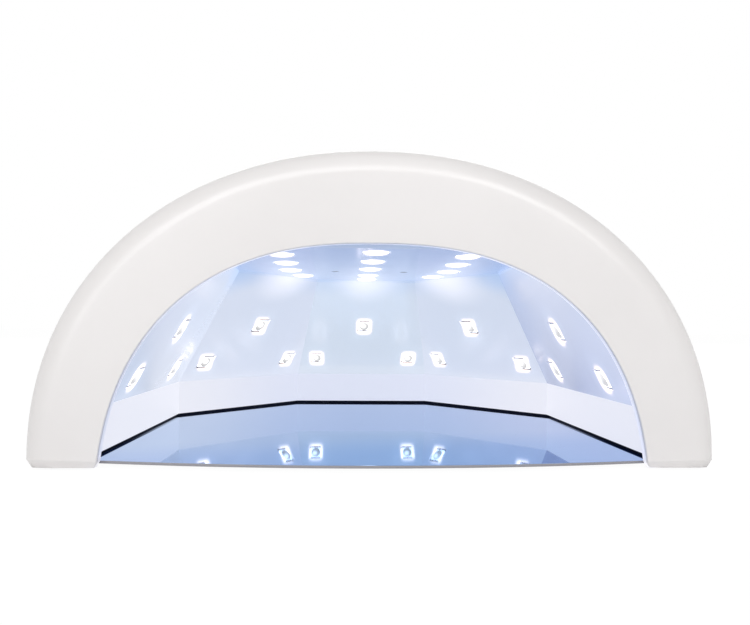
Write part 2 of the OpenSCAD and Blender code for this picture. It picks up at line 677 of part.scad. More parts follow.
module base_plate() {
    color([0.62, 0.68, 0.78]) placed() intersection() {
        inside_path(plate_rim, plate_top - plate_t, plate_t, plate_bulge + through);
        translate([0, plate_bow_r - plate_bulge, 0])
            cylinder(r = plate_bow_r, h = shell_h, $fn = bow_facets);
    }
}
module plate_pads() {
    color([0.15, 0.15, 0.15]) placed() pegs(pad_places, pad_r, -foot_h, foot_h + plate_top - plate_t);
}

top_shell();
control_panel();
timer_button_short();
timer_button_medium();
timer_button_long();
tact_switches();
control_board();
control_board_screws();
reflector_band();
reflector_right();
reflector_right_back();
reflector_back();
reflector_left_back();
reflector_left();
reflector_ceiling();
board_right();
board_right_back();
board_back();
board_left_back();
board_left();
board_ceiling();
leds_right();
leds_right_back();
leds_back();
leds_left_back();
leds_left();
leds_ceiling();
hand_sensor();
power_inlet();
inlet_nut();
bottom_cover();
cover_screws();
magnets();
rubber_feet();
base_plate();
plate_pads();
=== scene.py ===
import math

import bmesh
import bpy
import numpy as np
from mathutils import Matrix, Vector


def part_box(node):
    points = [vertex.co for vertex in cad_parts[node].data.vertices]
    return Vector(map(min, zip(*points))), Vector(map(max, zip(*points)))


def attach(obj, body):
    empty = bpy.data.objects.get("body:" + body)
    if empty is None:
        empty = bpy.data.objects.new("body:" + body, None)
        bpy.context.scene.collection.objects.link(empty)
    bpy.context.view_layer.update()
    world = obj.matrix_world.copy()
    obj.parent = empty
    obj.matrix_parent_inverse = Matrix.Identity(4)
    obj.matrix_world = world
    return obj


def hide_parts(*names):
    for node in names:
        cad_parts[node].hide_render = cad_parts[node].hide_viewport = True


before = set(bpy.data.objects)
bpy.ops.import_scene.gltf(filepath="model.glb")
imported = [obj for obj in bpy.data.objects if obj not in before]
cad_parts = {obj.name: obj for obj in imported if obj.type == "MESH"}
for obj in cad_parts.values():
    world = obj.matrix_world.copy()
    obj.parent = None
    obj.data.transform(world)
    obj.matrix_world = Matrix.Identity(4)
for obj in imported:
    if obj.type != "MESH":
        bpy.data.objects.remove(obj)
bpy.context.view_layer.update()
mm = 0.001

# where the lamp stands: the shell's own box gives its width, its depth and its lower edge
shellLow, shellHigh = (np.array(corner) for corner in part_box("top_shell"))
faceY = shellLow[1]
footZ = shellLow[2]
crownZ = shellHigh[2]
print("frame loaded, shell", (shellHigh - shellLow).round(4).tolist())


class Wire:
    # one socket of a node tree; sums of wires and numbers add Math nodes
    def __init__(self, finish, socket):
        self.finish = finish
        self.socket = socket

    def sum(self, operation, *others):
        return self.finish.add("ShaderNodeMath", {"operation": operation}, [self, *others])

    def __add__(self, other):
        return self.sum("ADD", other)

    def __sub__(self, other):
        return self.sum("SUBTRACT", other)

    def __rsub__(self, other):
        return self.finish.add("ShaderNodeMath", {"operation": "SUBTRACT"}, [other, self])

    def __mul__(self, other):
        return self.sum("MULTIPLY", other)

    def __pow__(self, other):
        return self.sum("POWER", other)

    __radd__ = __add__
    __rmul__ = __mul__

    def size(self):
        return self.sum("ABSOLUTE")

    def orMore(self, other):
        return self.sum("MAXIMUM", other)

    def ramp(self, start, end):
        # smooth step, 0 at start and 1 at end
        values = {"Value": self, "From Min": start, "From Max": end}
        return self.finish.add("ShaderNodeMapRange", {"interpolation_type": "SMOOTHSTEP"}, values)


class Finish:
    # a material and its nodes; add() makes any node and returns its output as a Wire
    def __init__(self, name):
        self.material = bpy.data.materials.new(name)
        self.material.use_nodes = True
        self.tree = self.material.node_tree
        self.tree.nodes.clear()

    def add(self, kind, settings=None, values=None, output=0):
        node = self.tree.nodes.new(kind)
        for key, value in (settings or {}).items():
            setattr(node, key, value)
        pairs = enumerate(values) if isinstance(values, list) else (values or {}).items()
        for key, value in pairs:
            if isinstance(value, Wire):
                self.tree.links.new(value.socket, node.inputs[key])
            else:
                node.inputs[key].default_value = value
        return Wire(self, node.outputs[output]) if len(node.outputs) else None

    def point(self):
        return self.add("ShaderNodeTexCoord", output="Object")

    def vectorSum(self, operation, vector, other):
        values = {0: vector, 1: tuple(other)}
        return self.add("ShaderNodeVectorMath", {"operation": operation}, values, "Value")

    def along(self, vector, axis):
        # how far the vector runs along an axis
        return self.vectorSum("DOT_PRODUCT", vector, axis)

    def reach(self, vector, centre):
        # distance from a place
        return self.vectorSum("DISTANCE", vector, centre)

    def noise(self, vector, scale, detail):
        values = {"Vector": vector, "Scale": scale, "Detail": detail}
        return self.add("ShaderNodeTexNoise", values=values, output="Fac")

    def stretched(self, vector, scale):
        return self.add("ShaderNodeMapping", values={"Vector": vector, "Scale": scale})

    def mix(self, share, first, second):
        # colour between two colours
        values = {"Factor": share, 6: self.colour(first), 7: self.colour(second)}
        return self.add("ShaderNodeMix", {"data_type": "RGBA"}, values, 2)

    def colour(self, value):
        return value if isinstance(value, Wire) else (*value, 1)

    def bump(self, height, distance, strength):
        values = {"Height": height, "Distance": distance, "Strength": strength}
        return self.add("ShaderNodeBump", values=values)

    def plastic(self, **values):
        # the Principled shader, with colours given as three numbers
        for key in values:
            if key.endswith(("Color", "Tint")):
                values[key] = self.colour(values[key])
        self.show(self.add("ShaderNodeBsdfPrincipled", values=values))
        return self.material

    def show(self, shader):
        self.add("ShaderNodeOutputMaterial", values={"Surface": shader})


def strongest(wires):
    # the largest of several values
    most = wires[0]
    for wire in wires[1:]:
        most = most.orMore(wire)
    return most


def srgb(red, green, blue):
    # linear colour from screen numbers 0..255: ((c + 0.055) / 1.055) ^ 2.4, straight below 0.04
    share = np.array([red, green, blue]) / 255
    return tuple(np.where(share <= 0.04045, share / 12.92, ((share + 0.055) / 1.055) ** 2.4).tolist())


def linked(name, data):
    # a new object in the scene, at the origin
    piece = bpy.data.objects.new(name, data)
    bpy.context.scene.collection.objects.link(piece)
    return piece


def finished(piece):
    # a new mesh of a piece with its modifiers, or of a text, as it shows
    bpy.context.view_layer.update()
    return bpy.data.meshes.new_from_object(piece.evaluated_get(bpy.context.evaluated_depsgraph_get()))


def meshPiece(name, points, faces, material, sharp=35):
    # a piece that is smooth but for edges over the sharp angle, in degrees
    mesh = bpy.data.meshes.new(name)
    mesh.from_pydata(points.tolist(), [], [list(face) for face in faces])
    weld(mesh)
    mesh.materials.append(material)
    return shaded(linked(name, mesh), sharp)


def shaded(piece, sharp=35):
    # smooth but for sharp edges, with the normals of its widest faces kept, so that flat ends stay flat
    piece.data.shade_smooth()
    piece.data.set_sharp_from_angle(angle=math.radians(sharp))
    change = piece.modifiers.new("flatEnds", "WEIGHTED_NORMAL")
    change.keep_sharp = True
    change.weight = 100
    return piece


def weld(mesh):
    # merges the doubles of seams and poles and turns every face outwards
    doubleReach = 1e-7
    work = bmesh.new()
    work.from_mesh(mesh)
    bmesh.ops.remove_doubles(work, verts=work.verts, dist=doubleReach)
    bmesh.ops.dissolve_degenerate(work, edges=work.edges, dist=doubleReach)
    bmesh.ops.recalc_face_normals(work, faces=work.faces)
    work.to_mesh(mesh)
    work.free()


def gridFaces(rows, columns, closed=False, first=0):
    # quads between neighbouring rows of a grid of points; closed joins the last column to the first
    across = np.arange(columns if closed else columns - 1)
    down = np.arange(rows - 1)[:, None]
    nextAcross = (across + 1) % columns
    corners = [down * columns + across, down * columns + nextAcross,
               (down + 1) * columns + nextAcross, (down + 1) * columns + across]
    return (np.stack(corners, -1).reshape(-1, 4) + first).tolist()


def endFaces(rows, count, over=False):
    # the two flat ends of a stack of rings; over turns both the other way
    first, last = list(range(count)), list(range((rows - 1) * count, rows * count))
    return [first, last[::-1]] if over else [first[::-1], last]


def quarterTurn(steps):
    return np.linspace(0, np.pi / 2, steps + 1)


def rimRows(radius, edge, height):
    # a rim's lower quarter circle: (radius - edge (1 - sin a), height + edge (1 - cos a))
    return [(radius - edge * (1 - math.sin(a)), height + edge * (1 - math.cos(a))) for a in quarterTurn(4)]


def turned(profile, steps, centre=(0, 0, 0)):
    # a profile of (radius, height) rows carried round a circle: (r cos a, r sin a, h)
    profile = np.array(profile, float)
    angle = np.linspace(0, 2 * np.pi, steps, endpoint=False)
    radius = profile[:, 0:1]
    points = np.stack([radius * np.cos(angle), radius * np.sin(angle),
                       profile[:, 1:2] + 0 * angle], -1)
    return points.reshape(-1, 3) + centre, gridFaces(len(profile), steps, True)


def drawnIn(outline, inset):
    # each point of a closed outline moved inwards along the mean normal of its two edges,
    # lengthened at corners so that both edges move by inset
    ahead = np.roll(outline, -1, 0) - outline
    ahead /= np.linalg.norm(ahead, axis=1, keepdims=True)
    normal = np.stack([-ahead[:, 1], ahead[:, 0]], -1)
    mean = normal + np.roll(normal, 1, 0)
    return outline + inset * mean * 2 / (mean ** 2).sum(1, keepdims=True)


def lofted(outline, profile):
    # a closed outline, anticlockwise, stacked by profile rows (inset, height), with flat ends
    outline = np.array(outline, float)
    rings = [np.c_[drawnIn(outline, inset), np.full(len(outline), height)] for inset, height in profile]
    count = len(outline)
    return np.concatenate(rings), gridFaces(len(profile), count, True) + endFaces(len(profile), count)


def roundedProfile(bottom, top, low, high, steps=5):
    # heights from bottom to top with a quarter circle of radius low, then high, at the ends
    turn = quarterTurn(steps)
    rows = []
    if low > 0:
        rows += [(low * (1 - math.sin(a)), bottom + low * (1 - math.cos(a))) for a in turn]
    else:
        rows.append((0, bottom))
    if high > 0:
        rows += [(high * (1 - math.cos(a)), top - high * (1 - math.sin(a))) for a in turn]
    else:
        rows.append((0, top))
    return rows


def joined(parts):
    # several (points, faces) in one
    points, faces, count = [], [], 0
    for part, quads in parts:
        points.append(part)
        faces += [[index + count for index in face] for face in quads]
        count += len(part)
    return np.concatenate(points), faces


def stadium(width, depth, steps=24):
    # two half circles joined by straight runs, anticlockwise
    radius = depth / 2
    turn = np.linspace(-np.pi / 2, np.pi / 2, steps + 1)
    right = np.stack([width / 2 - radius + radius * np.cos(turn), radius * np.sin(turn)], -1)
    return np.concatenate([right, -right])


def roundedSquare(width, depth, corner, steps=5):
    # a rectangle with quarter circles at its corners, anticlockwise
    turn = quarterTurn(steps)
    signs = ((1, 1, 0), (-1, 1, 1), (-1, -1, 2), (1, -1, 3))
    quarters = []
    for signX, signY, quarter in signs:
        angle = turn + quarter * np.pi / 2
        middle = np.array([signX * (width / 2 - corner), signY * (depth / 2 - corner)])
        quarters.append(middle + corner * np.stack([np.cos(angle), np.sin(angle)], -1))
    return np.concatenate(quarters)


def cut(piece, *cutters):
    # takes closed shapes away from a piece, then shades it again
    for points, faces in cutters:
        tool = meshPiece("cutter", points, faces, piece.data.materials[0])
        piece.modifiers.clear()
        change = piece.modifiers.new("cut", "BOOLEAN")
        change.operation = "DIFFERENCE"
        change.solver = "EXACT"
        change.object = tool
        mesh = finished(piece)
        piece.modifiers.clear()
        old = piece.data
        piece.data = mesh
        bpy.data.meshes.remove(old)
        bpy.data.objects.remove(tool)
    return shaded(piece)


def cornerArray(mesh):
    # every corner of a mesh, as an array
    flat = np.zeros(len(mesh.vertices) * 3)
    mesh.vertices.foreach_get("co", flat)
    return flat.reshape(-1, 3)


def cornersOf(node):
    return cornerArray(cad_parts[node].data)


def clusters(points, width):
    # the corners of separate solids, told apart by distance
    groups = []
    left = points
    while len(left):
        near = np.linalg.norm(left - left[0], axis=1) < width
        groups.append(left[near])
        left = left[~near]
    return groups


def wear(node, material):
    # a CAD node keeps its shape and takes a finish
    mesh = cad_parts[node].data
    mesh.materials.clear()
    mesh.materials.append(material)


def standsFor(piece, body, slot, *nodes):
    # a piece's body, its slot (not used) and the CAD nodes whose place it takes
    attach(piece, body)
    if nodes:
        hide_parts(*nodes)


cavityMiddle = np.array([0.0, faceY + 50 * mm, footZ + 35 * mm])  # every LED faces about this place
ledApart = 10 * mm  # corners within this of each other are one LED's


def ledFrames(node, ceiling=False):
    # each LED of a node: the middle of its foot and its axes across, up (its length) and out; out
    # is the direction in which its corners vary least, turned towards the middle of the cavity
    frames = []
    for corners in clusters(cornersOf(node), ledApart):
        middle = corners.mean(0)
        out = np.linalg.eigh(np.cov((corners - middle).T))[1][:, 0]
        out *= np.sign(out @ (cavityMiddle - middle))
        across = np.array([0, 1.0, 0]) if ceiling else np.cross([0, 0, 1.0], out)
        across = across - out * (across @ out)
        across /= np.linalg.norm(across)
        up = np.cross(out, across)
        axes = np.stack([across, up, out])
        spread = corners @ axes.T
        foot = (spread.min(0) + spread.max(0)) / 2
        foot[2] = spread[:, 2].min()
        frames.append((foot @ axes, axes))
    return frames


wallNames = ("right", "right_back", "back", "left_back", "left")
ledsOf = {name: ledFrames("leds_" + name) for name in wallNames}
ledsOf["ceiling"] = ledFrames("leds_ceiling", True)
print("LEDs found", {name: len(frames) for name, frames in ledsOf.items()})


shellPaint = dict(
    colour=srgb(240, 237, 236), deep=srgb(236, 233, 232), cloudScale=18, clouds=(0.3, 0.7),
    rough=0.32, roughSpread=0.08, coat=0.3, coatRough=0.16, skinScale=2600, skinDepth=0.02 * mm, skinShare=0.25)
opening = dict(half=88 * mm, crown=71.2 * mm, below=19 * mm, power=2.45, footHeight=1.7 * mm,
               startHeight=2.7 * mm, footInset=1.1 * mm)
# painted light: the LEDs' light on the opening's rim, painted as emission; where it shows across the oval, from
# front to back and from left to right, with the share that is left at the left
spill = dict(
    colour=(0.36, 0.365, 0.43), oval=(1.14, 1.07), start=(1.2 * mm, 2.0 * mm), end=(5.2 * mm, 4.6 * mm),
    sides=(-90 * mm, -30 * mm), leftShare=0.7)


def behindFace(f, point):
    return f.along(point, (0, 1, 0)) - float(faceY)


def shellWhite():
    # gloss moulding: a faint cloudiness and a very fine moulded skin; inside the opening, where
    # (|x| / a)^p + (|z - c| / b)^p is under about 1.1, an emission paints the LEDs' blue light spilling over
    # the edge
    f = Finish("shellWhite")
    point = f.point()
    cloud = f.noise(point, shellPaint["cloudScale"], 3)
    skin = f.noise(point, shellPaint["skinScale"], 1)
    across = f.along(point, (1 / opening["half"], 0, 0)).size() ** opening["power"]
    high = opening["crown"] + opening["below"]
    rise = f.along(point, (0, 0, 1 / high)) - float((footZ - opening["below"]) / high)
    inside = (across + rise.size() ** opening["power"]).ramp(*spill["oval"])
    behind = behindFace(f, point)
    # painted light: the mask of the spill's emission on the rim
    lit = inside * behind.ramp(*spill["start"]) * behind.ramp(*spill["end"])
    towardsRight = f.along(point, (1, 0, 0)).ramp(*spill["sides"])
    lit = lit * (towardsRight * (1 - spill["leftShare"]) + spill["leftShare"])
    return f.plastic(**{
        "Base Color": f.mix(cloud.ramp(*shellPaint["clouds"]), shellPaint["deep"], shellPaint["colour"]),
        "Roughness": shellPaint["rough"] + (cloud - 0.5) * shellPaint["roughSpread"],
        "Coat Weight": shellPaint["coat"], "Coat Roughness": shellPaint["coatRough"],
        "Emission Color": f.mix(lit, (0, 0, 0), spill["colour"]), "Emission Strength": 1.0,
        "Normal": f.bump(skin, shellPaint["skinDepth"], shellPaint["skinShare"])})


ceilingFront = 70.1 * mm  # height of the ceiling over the shell's foot, at the face
ceilingFall = math.tan(math.radians(2.2))
# halo, softness and far glow are an LED's painted bloom on the film; each ceiling shade is the heights over
# which the film darkens with painted shade under the ceiling, and its share
filmLook = dict(
    base=srgb(158, 158, 160), metal=0.34, rough=0.14, haloColour=(2.5, 2.0, 1.75), softness=(1.45, 0.58),
    farGlow=(2.4, 0.8), farShare=0.025, farColour=(1.5, 1.75, 2.0),
    glowColour=(0.95, 0.92, 0.96), shadeShare=0.8,
    ceilingShades=(((-8 * mm, 0), 0.3), ((-1.0 * mm, -0.5 * mm), 0.24)), ceilingShadeColour=srgb(140, 165, 205),
    # the painted shade above the plate's gap, in emission and base colour, and the depths of a painted lighter
    # front edge
    gapShadeColour=(0.0, 0.004, 0.02), gapShadeBase=(0.01, 0.015, 0.04), frontLightDepths=(0.1 * mm, 0.05 * mm),
    haloPower=3.0, rippleScale=55, ripple=0.03 * mm, rippleShare=0.2,
    smearScale=130, smearStretch=(1, 1, 6), smear=0.06)


def bloom(f, point, led, halo, slant, power):
    # how far a place lies from an LED, in its halo's half sizes: (|x|^p + |y|^p) ^ 1/p, where equal
    # values are squares with round corners whose upright axis leans by slant
    foot, (across, up, out) = led
    side = (across + slant * up) / halo[0]
    rise = up / halo[1]
    x = f.along(point, side) - float(foot @ side)
    y = f.along(point, rise) - float(foot @ rise)
    return (x.size() ** power + y.size() ** power) ** (1 / power)


def litFilm(name, low, high, depths, leds=(), bloomShape=(), glows=(), shades=(), shadeUnderCeiling=False, gapShade=None,
            front=None, metal=filmLook["metal"], rough=filmLook["rough"]):
    # mirror sheet whose lit look is painted as emission: a squarish halo of painted light round each window,
    # wide round glows of painted light where a neighbour's light falls, painted shade in the corners, painted
    # shade under the ceiling with a narrower darker line along the joint, a strip of painted shade above the
    # plate's gap and a front edge painted lighter; low and high are the film's painted light, its emission
    # colours at the two depths behind the face
    f = Finish(name)
    point = f.point()
    colour = f.mix(behindFace(f, point).ramp(*depths), low, high)
    # painted shade in the corners
    for centre, radius, shade in shades:
        colour = f.mix(f.reach(point, centre).ramp(radius, 0) * filmLook["shadeShare"], colour, shade)
    if shadeUnderCeiling:
        # painted shade: the film darkens under the ceiling, with a narrower darker line along the joint
        under = f.along(point, (0, ceilingFall, 1)) - float(faceY * ceilingFall + footZ + ceilingFront)
        wide, fine = (under.ramp(*heights) * share for heights, share in filmLook["ceilingShades"])
        colour = f.mix(wide + fine, colour, filmLook["ceilingShadeColour"])
    # painted light where a neighbour's light falls
    for centre, radius, strength in glows:
        colour = f.mix(f.reach(point, centre).ramp(radius, 0) * strength, colour, filmLook["glowColour"])
    # painted light: each LED's far glow and halo
    for led in leds:
        reach = bloom(f, point, led, *bloomShape)
        colour = f.mix(reach.ramp(*filmLook["farGlow"]) * filmLook["farShare"], colour, filmLook["farColour"])
        halo = reach.ramp(*filmLook["softness"]) ** filmLook["haloPower"]
        colour = f.mix(halo, colour, filmLook["haloColour"])
    if front:
        # painted light: the film's front edge takes a lighter emission colour that lightens the shade at the
        # crown
        place, edgeColour = front
        edge = f.along(point, (0, 1, 0)).ramp(*(place + depth for depth in filmLook["frontLightDepths"]))
        colour = f.mix(edge, colour, edgeColour)
    ripple = f.noise(point, filmLook["rippleScale"], 2)
    smear = f.noise(f.stretched(point, filmLook["smearStretch"]), filmLook["smearScale"], 2)
    base = filmLook["base"]
    if gapShade:
        # painted shade: a dark strip along the film's foot, above the plate's gap, in both its emission and its
        # base colour
        dark = f.along(point, (0, 0, 1)).ramp(*gapShade)
        colour = f.mix(dark, colour, filmLook["gapShadeColour"])
        base = f.mix(dark, base, filmLook["gapShadeBase"])
    return f.plastic(**{
        "Base Color": base, "Metallic": metal, "Roughness": rough + (smear - 0.5) * filmLook["smear"],
        "Emission Color": colour, "Emission Strength": 1.0,
        "Normal": f.bump(ripple, filmLook["ripple"], filmLook["rippleShare"])})


# back and near are the plate's colours at its left, in its middle and at its right, deep inside and
# towards the opening, painted reflection of what the sheet mirrors there; the edge's depths are under the
# plate's top
plateLook = dict(
    back=(srgb(228, 237, 247), srgb(202, 220, 240), srgb(214, 219, 243)),
    near=(srgb(203, 219, 245), srgb(163, 199, 238), srgb(180, 201, 239)),
    nearAxis=(0.25, -1, 0), nearDepths=(62 * mm, 14 * mm), left=(0.0, 80 * mm), right=(20 * mm, 85 * mm),
    rough=0.025, tint=(0.7, 0.78, 0.9), edgeColour=srgb(150, 148, 152), edgeDepths=(0.12 * mm, 0.04 * mm),
    edgeMetal=0.4, edgeRough=0.47, wipeScale=40, wipeStretch=(3, 14, 3), wipePale=0.06, wipeRough=0.02,
    dustScale=900, dust=(0.74, 0.82), dustRough=0.2)


def plateMirror(top):
    # polished sheet, its tint painted reflection, paler at the back and sides and bluer towards the opening,
    # with faint wiping marks, dust and a dull cut edge
    f = Finish("plateMirror")
    point = f.point()
    look = plateLook
    wipe = f.noise(f.stretched(point, look["wipeStretch"]), look["wipeScale"], 3)
    dust = f.noise(point, look["dustScale"], 1).ramp(*look["dust"])
    polished = f.along(point, (0, 0, 1)).ramp(*(top - depth for depth in look["edgeDepths"]))
    front = f.along(point, look["nearAxis"]).ramp(*(-faceY - depth for depth in look["nearDepths"]))
    toLeft = f.along(point, (-1, 0, 0)).ramp(*look["left"])
    toRight = f.along(point, (1, 0, 0)).ramp(*look["right"])
    # painted reflection: the sheet's tint across its width and depth
    back, near = (f.mix(toRight, f.mix(toLeft, middle, left), right)
                  for left, middle, right in (look["back"], look["near"]))
    face = f.mix(wipe * look["wipePale"], f.mix(front, back, near), (1.0, 1.0, 1.0))
    rough = look["edgeRough"] - polished * (look["edgeRough"] - look["rough"])
    return f.plastic(**{
        "Base Color": f.mix(polished, look["edgeColour"], face),
        "Metallic": look["edgeMetal"] + polished * (1 - look["edgeMetal"]), "Specular Tint": look["tint"],
        "Roughness": rough + wipe * look["wipeRough"] + dust * look["dustRough"]})


plasticLook = dict(cloudScale=60, rubbed=(0.35, 0.75), roughSpread=0.16, grainShare=0.6)


def plainPlastic(name, colour, worn, rough, grainScale, grainDepth, coat=0.0, shine=0.5):
    # moulded plastic: cloudy colour, grained skin and rubbed patches
    f = Finish(name)
    point = f.point()
    cloud = f.noise(point, plasticLook["cloudScale"], 3)
    grain = f.noise(point, grainScale, 2)
    return f.plastic(**{
        "Base Color": f.mix(cloud.ramp(*plasticLook["rubbed"]), colour, worn),
        "Roughness": rough + (cloud - 0.5) * plasticLook["roughSpread"],
        "Coat Weight": coat, "Specular IOR Level": shine,
        "Normal": f.bump(grain, grainDepth, plasticLook["grainShare"])})


metalLook = dict(scratchScale=700, scratchStretch=(1, 1, 30), scratchDepth=0.01 * mm, scratchShare=0.3,
                 dullScale=120, dullColour=0.82, dullRough=0.12)


def platedMetal(name, colour, rough):
    # turned and plated metal: fine rings of scratches and dull spots
    f = Finish(name)
    point = f.point()
    scratch = f.noise(f.stretched(point, metalLook["scratchStretch"]), metalLook["scratchScale"], 2)
    dull = f.noise(point, metalLook["dullScale"], 2)
    return f.plastic(**{
        "Base Color": f.mix(dull, colour, tuple(metalLook["dullColour"] * part for part in colour)),
        "Metallic": 1.0, "Roughness": rough + dull * metalLook["dullRough"],
        "Normal": f.bump(scratch, metalLook["scratchDepth"], metalLook["scratchShare"])})


boardLook = dict(cellScale=260, band=(0.34, 0.4), patchScale=90, patches=(0.45, 0.5), rough=0.35,
                 trackRough=0.1, trackHigh=0.03 * mm, trackShare=0.5, haloPower=2.0)


def circuitBoard(name, mask, copper, leds=(), bloomShape=()):
    # solder mask over tracks: the tracks are the flat bands of a coarse square cell pattern, in
    # patches; the LEDs' blooms are painted on it as emission, as on the film
    f = Finish(name)
    point = f.point()
    cells = f.add("ShaderNodeTexVoronoi", {"distance": "CHEBYCHEV", "feature": "F1"},
                  {"Vector": point, "Scale": boardLook["cellScale"]})
    patches = f.noise(point, boardLook["patchScale"], 1).ramp(*boardLook["patches"])
    tracks = cells.ramp(*boardLook["band"]) * patches
    look = {"Base Color": f.mix(tracks, mask, copper),
            "Roughness": boardLook["rough"] + tracks * boardLook["trackRough"],
            "Normal": f.bump(tracks, boardLook["trackHigh"], boardLook["trackShare"])}
    if leds:
        # painted light: the LEDs' bloom on the board
        blooms = [bloom(f, point, led, *bloomShape).ramp(*filmLook["softness"]) for led in leds]
        lit = strongest(blooms) ** boardLook["haloPower"]
        look["Emission Color"] = f.mix(lit, (0.0, 0.0, 0.0), filmLook["haloColour"])
        look["Emission Strength"] = 1.0
    return f.plastic(**look)


# the core is a spot set off from the middle of a window's foot, across, up and out; core and ring
# are the distances from it over which each fades in; the grey ring round the core is painted shade
ledLook = dict(
    body=(0.85, 0.86, 0.88), bodyRough=0.4, bodyRoughSpread=0.1, bodyScale=1500,
    bodyGlow=((1.7, 1.72, 1.8), (1.6, 1.62, 1.7)),
    lens=(0.08, 0.08, 0.08), lensRough=0.15, core=(1.6 * mm, 0.8 * mm), ring=(3.1 * mm, 1.4 * mm),
    coreGlow=(1.7, 1.7, 1.75), coreRough=0.2, coreUp=1.4 * mm, coreOut=1.7 * mm, coreAcross=-0.5 * mm)


def ledBody():
    # white package, lit from within, its light faintly mottled
    f = Finish("ledBody")
    fine = f.noise(f.point(), ledLook["bodyScale"], 1)
    return f.plastic(**{
        "Base Color": ledLook["body"], "Roughness": ledLook["bodyRough"] + fine * ledLook["bodyRoughSpread"],
        "Emission Color": f.mix(fine, *ledLook["bodyGlow"]), "Emission Strength": 1.0})


def ledLens(name, leds, near, far, shift):
    # clear dome over the chip: a bright core, the chip's light set off to one side, and a grey ring of
    # painted shade round it, darkest away from the core
    f = Finish("ledLens_" + name)
    point = f.point()
    spot = np.array([shift, ledLook["coreUp"], ledLook["coreOut"]])
    reaches = [f.reach(point, foot + spot @ axes) for foot, axes in leds]
    core, close = (strongest([reach.ramp(*ledLook[part]) for reach in reaches]) for part in ("core", "ring"))
    return f.plastic(**{
        "Base Color": ledLook["lens"], "Roughness": ledLook["lensRough"] + core * ledLook["coreRough"],
        "Emission Color": f.mix(core, f.mix(close, far, near), ledLook["coreGlow"]), "Emission Strength": 1.0})


white = shellWhite()
plateFinish = plateMirror(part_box("base_plate")[1][2])
panelGrey = plainPlastic("panelGrey", srgb(203, 206, 212), srgb(196, 199, 206),
                         rough=0.3, grainScale=1800, grainDepth=0.01 * mm, coat=0.2)
buttonWhite = plainPlastic("buttonWhite", srgb(243, 243, 242), srgb(238, 238, 237),
                           rough=0.38, grainScale=1500, grainDepth=0.01 * mm)
printGrey = plainPlastic("printGrey", srgb(92, 96, 104), srgb(104, 108, 116),
                         rough=0.5, grainScale=2500, grainDepth=0.005 * mm)
blackPlastic = plainPlastic("blackPlastic", srgb(38, 38, 40), srgb(48, 48, 50),
                            rough=0.42, grainScale=1200, grainDepth=0.02 * mm)
coverBlack = plainPlastic("coverBlack", srgb(7, 11, 30), srgb(12, 17, 38),
                          rough=0.6, grainScale=900, grainDepth=0.06 * mm, shine=0.15)
rubberBlack = plainPlastic("rubberBlack", srgb(46, 46, 46), srgb(60, 60, 59),
                           rough=0.75, grainScale=1400, grainDepth=0.05 * mm)
plated = platedMetal("platedSteel", srgb(200, 202, 206), rough=0.22)
boardGreen = circuitBoard("boardGreen", srgb(22, 84, 52), srgb(40, 120, 76))
print("finishes made")


shell = dict(
    faceRound=5 * mm, faceRoundWide=8 * mm, levelDepth=20 * mm, upright=3 * mm, archPower=2.12, backPower=2.9,
    wall=2.5 * mm, faceThick=4 * mm, bevelWide=1.6 * mm, bevelHigh=2.4 * mm, bevelRun=2.5 * mm,
    lipEdge=0.4 * mm, archSteps=176, fallSteps=64, roundSteps=12, faceSteps=4, levelSteps=4, lipSteps=3)
shellHalf = shellHigh[0]
shellTop = crownZ - footZ
shellDepth = shellHigh[1] - faceY


def keptShare(depth, back):
    # how much of its width and height the dome keeps: (1 - t^q) ^ 1/p, where t runs from 0 at the
    # end of the level stretch to 1 at the back
    share = np.clip((depth - shell["levelDepth"]) / (back - shell["levelDepth"]), 0, 1)
    return (1 - share ** shell["backPower"]) ** (1 / shell["archPower"])


def archRings(half, top, depth, bevel):
    # rings of the dome, each half an oval (|cos|^(2/p), |sin|^(2/p)) on upright feet with a bevel
    angle = np.linspace(0, np.pi, shell["archSteps"] + 1)
    power = 2 / shell["archPower"]
    half, top, depth = (np.asarray(value, float)[:, None] for value in (half, top, depth))
    bevel = np.minimum(bevel, half / 2)
    acrossArch = np.sign(np.cos(angle)) * np.abs(np.cos(angle)) ** power
    x = half * acrossArch
    z = shell["upright"] + (top - shell["upright"]) * np.abs(np.sin(angle)) ** power
    high = np.full_like(half, shell["bevelHigh"])
    x = np.hstack([half - bevel, half, x, -half, bevel - half])
    z = np.hstack([0 * half, high, z, high, 0 * half])
    return np.stack([x, depth + 0 * x, z], -1)


def lipRing(grow, depth):
    # the opening's ring, an oval about a centre below the feet, ended on two bevelled corners
    half = opening["half"] + grow
    crown = opening["crown"] + opening["below"] + grow
    power = opening["power"]
    start = math.asin(((opening["startHeight"] + opening["below"]) / crown) ** (power / 2))
    angle = np.linspace(start, np.pi - start, shell["archSteps"] + 1)
    x = half * np.sign(np.cos(angle)) * np.abs(np.cos(angle)) ** (2 / power)
    z = crown * np.sin(angle) ** (2 / power) - opening["below"]
    edge = half * (1 - ((opening["footHeight"] + opening["below"]) / crown) ** power) ** (1 / power)
    foot = edge + opening["footInset"]
    x = np.r_[foot, edge, x, -edge, -foot]
    z = np.r_[0, opening["footHeight"], z, opening["footHeight"], 0]
    return np.stack([x, depth + 0 * x, z], -1)


def footBevel(rings):
    # the front of the feet leans back from the bevel's height down to the floor
    depth = rings[:, [0, -1], 1]
    rings[:, [0, -1], 1] = depth + shell["bevelWide"] * np.clip(1 - depth / shell["bevelRun"], 0, 1)
    return rings


